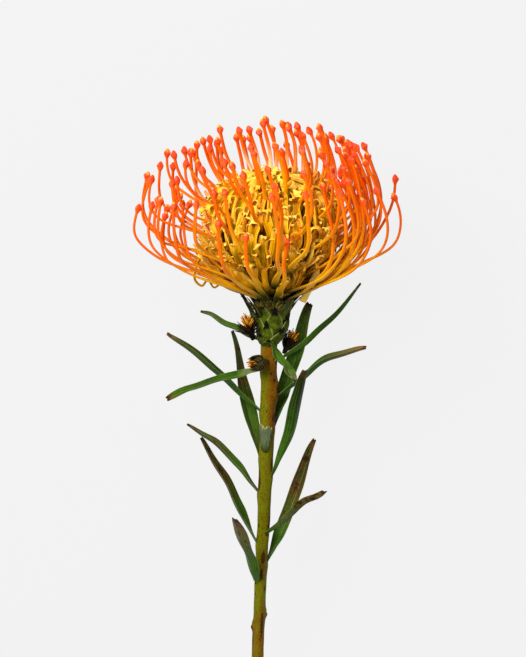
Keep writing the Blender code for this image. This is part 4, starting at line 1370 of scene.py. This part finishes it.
# Each leaf's colours from base to tip, how brown-blotched it is, the shares of its length where it
# reaches full width and where it starts to narrow, and how much of that width is left at the tip
LEAF_LOOKS = {
    "leaf_left_1": ((GREY_GREEN, FRESH, FRESH, GREY_GREEN, BLACKISH), 0.2, 0.3, 0.55, 0.35),
    "leaf_left_2": ((DARK, OLIVE, DARK, DARK, BLACKISH), 0.2, 0.3, 0.6, 0.5),
    "leaf_left_3": ((FRESH, FRESH, DEEP, OLIVE, TAN), 0.3, 0.4, 0.62, 0.6),
    "leaf_left_4": ((PALE, FRESH, DEEP, FRESH, RUST), 0.2, 0.4, 0.7, 0.6),
    "leaf_left_5": ((LIGHT, FRESH, BROWN, GREY_GREEN, GREY_GREEN), 0.95, 0.2, 0.3, 0.3),
    "leaf_left_6": ((OLIVE, FRESH, OLIVE, OLIVE, RUST), 0.8, 0.4, 0.6, 0.4),
    "leaf_left_7": ((FRESH, FRESH, BROWN, OLIVE, OLIVE), 1.0, 0.3, 0.55, 0.35),
    "leaf_left_8": ((FRESH, FRESH, GREY_GREEN, DRY, RUST), 0.7, 0.3, 0.6, 0.45),
    "leaf_right_1": ((LIGHT, FRESH, DEEP, DEEP, DRY), 0.2, 0.4, 0.6, 0.4),
    "leaf_right_2": ((FRESH, FRESH, FRESH, LIGHT, GREY_GREEN), 0.05, 0.3, 0.5, 0.6),
    "leaf_right_3": ((DEEP, FRESH, DEEP, DRY, TAN), 0.45, 0.5, 0.65, 0.55),
    "leaf_right_4": ((DEEP, FRESH, FRESH, GREY_GREEN, PALE), 0.1, 0.4, 0.7, 0.55),
    "leaf_right_5": ((FRESH, FRESH, DEEP, DARK, RUST), 0.2, 0.6, 0.68, 0.4),
    "leaf_right_6": ((FRESH, FRESH, BROWN, DARK, RUST), 0.9, 0.35, 0.6, 0.4),
    "leaf_right_7": ((FRESH, GREY_GREEN, OLIVE, DRY, RED_BROWN), 0.9, 0.5, 0.7, 0.6),
}


def make_leaf(name, azimuth, base_height, width, fold, roll, knots, look):
    """One leaf blade along its midrib, folded up from it, with a toothed tip.

    The half width grows up to the leaf's widest share, holds, and from where the leaf narrows
    closes by a power curve to its blunt tip.
    Each half stands at the fold angle, softened at the crease. The last rows are pulled back
    between three teeth. The thickness is set off square to each half, with a keel below.
    """
    outward = np.array([math.cos(math.radians(azimuth)), math.sin(math.radians(azimuth)), 0.0])
    if base_height < 0:
        centre, radius = stem_centre(base_height), stem_radius(base_height)
    else:
        centre, radius = receptacle_centre(base_height), receptacle_radius(base_height + 0.4)
    base = np.array([centre, 0.0, base_height]) + (radius - 0.25) * outward
    rng = np.random.default_rng(int(abs(azimuth) + 10 * width))
    share = np.linspace(0, 1, LEAF_ROWS)
    line = smooth_path([base, *knots], LEAF_LINE_STEPS + 1)
    steps = np.linspace(0, 1, LEAF_LINE_STEPS + 1)
    kinks = np.sin(steps[:, None] * (11, 13, 17) + rng.uniform(0, 6, 3)) * steps[:, None] ** 0.5
    line = line + 0.35 * (kinks - kinks[0]) * np.minimum(steps, 0.2)[:, None] / 0.2
    rows = np.interp(share, [0, 0.04, 0.92, 1], [0, 0.04, 0.92, 1]) * LEAF_LINE_STEPS
    path = np.stack([np.interp(rows, np.arange(len(line)), line[:, k]) for k in range(3)], 1)
    side, up = carried(path, np.array([0.0, 0.0, 1.0]) - outward)
    side = -side

    tones, blotches, widest, narrows, blunt = LEAF_LOOKS[name]
    x, y = section(LEAF_CORNERS, 0.85)
    x = x[None, :]
    y = y[None, :]
    along = share[:, None]
    opening = smooth_step(along, 0.0, 0.3)
    closing = np.maximum(along - narrows, 0.0) / (1 - narrows)
    wavy = 1 + 0.03 * np.sin(9 * along + 6.3 * rng.random()) + 0.02 * np.sin(21 * along)
    filling = smooth_step(along, 0.0, widest)
    half = 0.5 * width * (0.4 + 0.6 * filling) * (1 - (1 - blunt) * closing ** 2.2) * wavy
    bend = np.radians(fold) * np.minimum(along / 0.18, 1.0)
    turn = -np.radians(roll) * opening
    crease = np.sqrt(x ** 2 + 0.02) - math.sqrt(0.02)
    thick = 0.5 * look.thickness * (1 - 0.45 * x ** 2) * (1 - 0.25 * closing)
    keel = 0.28 * np.exp(-(x / 0.18) ** 2) * np.maximum(-y, 0) * (1 - closing)
    shift = thick * y - keel
    out = half * x * np.cos(bend) - shift * np.sin(bend) * x / np.sqrt(x ** 2 + 0.05)
    rise = half * (crease - 0.42) * np.sin(bend) + shift * np.cos(bend)
    rise = rise + 0.25 * np.sin(7 * along + 5 * rng.random()) * x * opening
    out, rise = (out * np.cos(turn) - rise * np.sin(turn),
                 out * np.sin(turn) + rise * np.cos(turn))
    loops = loops_on(path, -side, up, out, rise)
    notch = 1.0 * (1 - np.abs(np.cos(1.5 * math.pi * x))) * smooth_step(along, 0.93, 1.0)
    heading = unit(np.gradient(path, axis=0))
    loops = loops - notch[..., None] * heading[:, None]
    skin = Skin()
    skin.add(loops, along=along, across=np.abs(x) + 0 * along, face=y + 0 * along)
    finish = leaf_finish(name, look, tones, blotches)
    skin.shown(name + "_blade", [name], "leaf_green", finish)


# ---------------------------------------------------------------------------------------------
# Dried side heads
# ---------------------------------------------------------------------------------------------

# How each head has dried: two with open, spiky bracts, one a closed bud
DRIED_KINDS = (
    {"seed": 11, "bracts": 40, "flare": 1.5, "swell": 1.5, "mouth": 1.6, "rise": 5.2, "width": 0.5,
     "fullness": 0.35, "florets": 34, "spread": 2.7, "height": 10.8, "tone": 0.0},
    {"seed": 12, "bracts": 34, "flare": 0.8, "swell": 1.6, "mouth": 2.0, "rise": 5.0, "width": 0.6,
     "fullness": 0.35, "florets": 38, "spread": 3.5, "height": 11.0, "tone": 0.1},
    {"seed": 13, "bracts": 34, "flare": 0.12, "swell": 2.8, "mouth": 2.5, "rise": 5.8, "width": 1.2,
     "fullness": 0.45, "florets": 34, "spread": 1.7, "height": 9.8, "tone": 0.75},
)


def make_dried_head(name, base, axis, scale, kind, look):
    """A small dry head: a stalk, rings of pointed bracts, and a tuft of dry florets.

    Each bract leaves the stalk sideways and curves up to its point; the kind's flare sets how far
    out its point stays. The florets are short wavy ribbons fanned out from the middle.
    """
    rng = np.random.default_rng(kind["seed"])
    axis = unit(np.array(axis))
    level = unit(np.cross(axis, (0.3, 1.0, 0.2)))
    across = np.cross(axis, level)
    base = np.array(base)

    def blade(skin, azimuth, points, half, fullness, rows, **marks):
        spoke = math.cos(azimuth) * level + math.sin(azimuth) * across
        path = smooth_path([base + scale * (r * spoke + h * axis) for r, h in points], rows)
        side, up = carried(path, spoke + 0.2 * axis)
        share = np.linspace(0, 1, rows)[:, None]
        x, y = section(6, 0.8)
        closing = 1 - smooth_step(share, fullness, 1.0) * 0.93
        width = half * (0.35 + 0.65 * smooth_step(share, 0.0, 0.35)) * closing
        lift = 0.16 * y - 0.16 * half * x ** 2
        skin.add(loops_on(path, side, up, scale * width * x, scale * lift + 0 * share),
                 along=share, edge=np.abs(x)[None, :] + 0 * share, **marks)

    husks = Skin()
    stalk = smooth_path([base + scale * h * axis for h in (-0.6, 1.5, 3.2, 4.6)], 10)
    side, up = carried(stalk, level)
    x, y = section(10)
    girth = scale * np.linspace(0.8, 2.2, 10)[:, None]
    husks.add(loops_on(stalk, side, up, girth * x, girth * y), along=0.0, edge=0.2)
    for k in range(kind["bracts"]):
        ring = k / kind["bracts"]
        flare = kind["flare"] * (1 - 0.5 * ring) * rng.uniform(0.6, 1.25)
        foot = 1.2 + 2.6 * ring
        swell = kind["swell"]
        blade(husks, k * GOLDEN_ANGLE + rng.uniform(-0.2, 0.2),
              ((0.8, foot), (swell + 0.9 * flare, foot + 1.5),
               (swell + 0.5 + 2.1 * flare, foot + 3.4 - 0.4 * flare),
               (kind["mouth"] + 3.4 * flare, foot + kind["rise"] - 1.0 * flare)),
              kind["width"], kind["fullness"], 14)
    husks.shown(name + "_bracts", [name], "dried_brown", dried_finish(look, kind["tone"]))

    florets = Skin()
    for k in range(kind["florets"]):
        azimuth = k * GOLDEN_ANGLE + rng.uniform(-0.3, 0.3)
        reach = kind["spread"] * math.sqrt((k + 0.5) / kind["florets"])
        height = kind["height"] - 0.2 * reach ** 2 + rng.uniform(-2.0, 0.9)
        blade(florets, azimuth,
              ((0.3 * reach, 4.0), (0.6 * reach, 6.0), (0.8 * reach, 0.8 * height + 0.8),
               (reach + rng.uniform(-0.3, 0.3), height)),
              rng.uniform(0.36, 0.56), 0.55, 12, tone=rng.random())
    florets.shown(name + "_florets", [name], "dried_brown", tuft_finish(look))


# ---------------------------------------------------------------------------------------------
# Stage
# ---------------------------------------------------------------------------------------------

FLOOR_HALF = 1.6
FLOOR_CELLS = 8
FLOOR_HEIGHT = -0.0002
GRAIN_SHADE = 0.97
# Each light's place and size, in metres; both look at this height inside the dome
KEY_PLACE = (-0.45, 0.55, 0.75)
KEY_SIZE = 0.5
FILL_PLACE = (0.7, -0.1, 0.6)
FILL_SIZE = 0.7
LIT_HEIGHT = 50.0
SENSOR_WIDTH = 36.0
CLIP_RANGE = (0.05, 20.0)


def make_floor(look):
    """The pale surface: a flat grid just under the flower, part of its tone free of shadow."""
    lines = np.linspace(-FLOOR_HALF, FLOOR_HALF, FLOOR_CELLS + 1)
    x, y = np.meshgrid(lines, lines)
    corner = np.arange(x.size).reshape(x.shape)
    faces = np.stack([corner[:-1, :-1], corner[:-1, 1:], corner[1:, 1:], corner[1:, :-1]], -1)
    mesh = bpy.data.meshes.new("pale_surface")
    mesh.from_pydata(np.stack([x.ravel(), y.ravel(), np.full(x.size, FLOOR_HEIGHT)], 1), [],
                     faces.reshape(-1, 4).tolist())
    paper = Finish("pale_surface", roughness=0.9, specular_ior_level=0.0)
    tone = tuple(look.floor_tone)
    paper.shader.inputs["Emission Color"].default_value = (*tone, 1.0)
    paper.shader.inputs["Emission Strength"].default_value = look.glow
    grain = paper.noise(30.0, 2.0)
    dim = tuple((1 - look.glow) * value for value in tone)
    shaded = tuple(GRAIN_SHADE * value for value in dim)
    mesh.materials.append(paper.finish(paper.mix(dim, shaded, grain)))
    floor = bpy.data.objects.new("pale_surface", mesh)
    bpy.context.scene.collection.objects.link(floor)


def add_light(name, place, target, size, power):
    """A square area light that looks from its place at the target."""
    data = bpy.data.lights.new(name, "AREA")
    data.size = size
    data.energy = power
    lamp = bpy.data.objects.new(name, data)
    bpy.context.scene.collection.objects.link(lamp)
    lamp.location = place
    lamp.rotation_euler = (Vector(target) - Vector(place)).to_track_quat("-Z", "Y").to_euler()


def make_stage(look):
    """Floor, even sky, two soft lights, and the camera that looks down on the flower."""
    make_floor(look)
    world = bpy.data.worlds.new("even_sky")
    world.use_nodes = True
    sky = world.node_tree.nodes["Background"]
    sky.inputs["Color"].default_value = (1.0, 1.0, 1.0, 1.0)
    sky.inputs["Strength"].default_value = look.sky_strength
    scene = bpy.context.scene
    scene.world = world
    scene.view_settings.view_transform = "Standard"
    head = lay_down([RECEPTACLE_X, 0.0, LIT_HEIGHT])
    add_light("key_light", KEY_PLACE, head, KEY_SIZE, look.key_power)
    add_light("fill_light", FILL_PLACE, head, FILL_SIZE, look.fill_power)

    upward = np.array([0.0, math.sin(look.view_elevation), math.cos(look.view_elevation)])
    onward = np.array([0.0, math.cos(look.view_elevation), -math.sin(look.view_elevation)])
    target = upward * look.target_up + np.array([-look.target_left, 0.0, 0.0])
    place = lay_down(target - onward * look.view_distance / MM)
    data = bpy.data.cameras.new("view")
    data.sensor_fit = "AUTO"
    data.sensor_width = SENSOR_WIDTH
    data.lens = data.sensor_width * look.view_distance / look.view_height
    data.clip_start, data.clip_end = CLIP_RANGE
    camera = bpy.data.objects.new("view", data)
    scene.collection.objects.link(camera)
    camera.location = place
    axes = np.array([(1.0, 0.0, 0.0), upward, -onward]) @ TURN
    camera.rotation_euler = Matrix(axes.T.tolist()).to_euler()
    scene.camera = camera


# ---------------------------------------------------------------------------------------------
# Operators and panel
# ---------------------------------------------------------------------------------------------

class PROTEA_OT_stem(bpy.types.Operator):
    """Make the bark-covered stem with its scars and the torn leaf base"""
    bl_idname = "protea.stem"
    bl_label = "Stem"

    def execute(self, context):
        make_stem(context.scene.protea_stem)
        make_stub(context.scene.protea_stem)
        return {"FINISHED"}


class PROTEA_OT_leaves(bpy.types.Operator):
    """Make the narrow leathery leaves"""
    bl_idname = "protea.leaves"
    bl_label = "Leaves"

    def execute(self, context):
        for leaf in LEAVES:
            make_leaf(*leaf, context.scene.protea_leaves)
        return {"FINISHED"}


class PROTEA_OT_receptacle(bpy.types.Operator):
    """Make the scaly neck below the head"""
    bl_idname = "protea.receptacle"
    bl_label = "Receptacle"

    def execute(self, context):
        make_receptacle(context.scene.protea_scales)
        return {"FINISHED"}


class PROTEA_OT_perianths(bpy.types.Operator):
    """Make the dome of curled flower tubes and the loose ones below it"""
    bl_idname = "protea.perianths"
    bl_label = "Perianths"

    def execute(self, context):
        make_perianths(context.scene.protea_perianth)
        make_held_loops(context.scene.protea_perianth)
        make_loose(context.scene.protea_perianth)
        return {"FINISHED"}


class PROTEA_OT_pins(bpy.types.Operator):
    """Make the long knobbed pins"""
    bl_idname = "protea.pins"
    bl_label = "Pins"

    def execute(self, context):
        make_pins(context.scene.protea_pins)
        return {"FINISHED"}


class PROTEA_OT_dried_heads(bpy.types.Operator):
    """Make the three dried side heads"""
    bl_idname = "protea.dried_heads"
    bl_label = "Dried side heads"

    def execute(self, context):
        look = context.scene.protea_dried
        for head, kind in zip(DRIED_HEADS, DRIED_KINDS):
            make_dried_head(*head, kind, look)
        return {"FINISHED"}


class PROTEA_OT_stage(bpy.types.Operator):
    """Make the pale surface, the soft lights and the camera"""
    bl_idname = "protea.stage"
    bl_label = "Stage"

    def execute(self, context):
        make_stage(context.scene.protea_stage)
        return {"FINISHED"}


OPERATORS = (PROTEA_OT_stem, PROTEA_OT_leaves, PROTEA_OT_receptacle, PROTEA_OT_perianths,
             PROTEA_OT_pins, PROTEA_OT_dried_heads, PROTEA_OT_stage)


class PROTEA_PT_panel(bpy.types.Panel):
    """Lists the flower's pieces and their settings"""
    bl_idname = "PROTEA_PT_panel"
    bl_label = "Pincushion Protea"
    bl_space_type = "VIEW_3D"
    bl_region_type = "UI"
    bl_category = "Protea"

    def draw(self, context):
        for operator in OPERATORS:
            self.layout.operator(operator.bl_idname)
        for name, group in SETTINGS:
            box = self.layout.box()
            for label in group.__annotations__:
                box.prop(getattr(context.scene, name), label)


def register():
    for name, group in SETTINGS:
        bpy.utils.register_class(group)
        setattr(bpy.types.Scene, name, PointerProperty(type=group))
    for operator in OPERATORS:
        bpy.utils.register_class(operator)
    bpy.utils.register_class(PROTEA_PT_panel)


def unregister():
    bpy.utils.unregister_class(PROTEA_PT_panel)
    for operator in reversed(OPERATORS):
        bpy.utils.unregister_class(operator)
    for name, group in reversed(SETTINGS):
        delattr(bpy.types.Scene, name)
        bpy.utils.unregister_class(group)


def main():
    """Registers the add-on and makes every piece and the stage."""
    register()
    for make in (bpy.ops.protea.stage, bpy.ops.protea.stem, bpy.ops.protea.leaves,
                 bpy.ops.protea.receptacle, bpy.ops.protea.perianths, bpy.ops.protea.pins,
                 bpy.ops.protea.dried_heads):
        make()


if __name__ == "__main__":
    main()
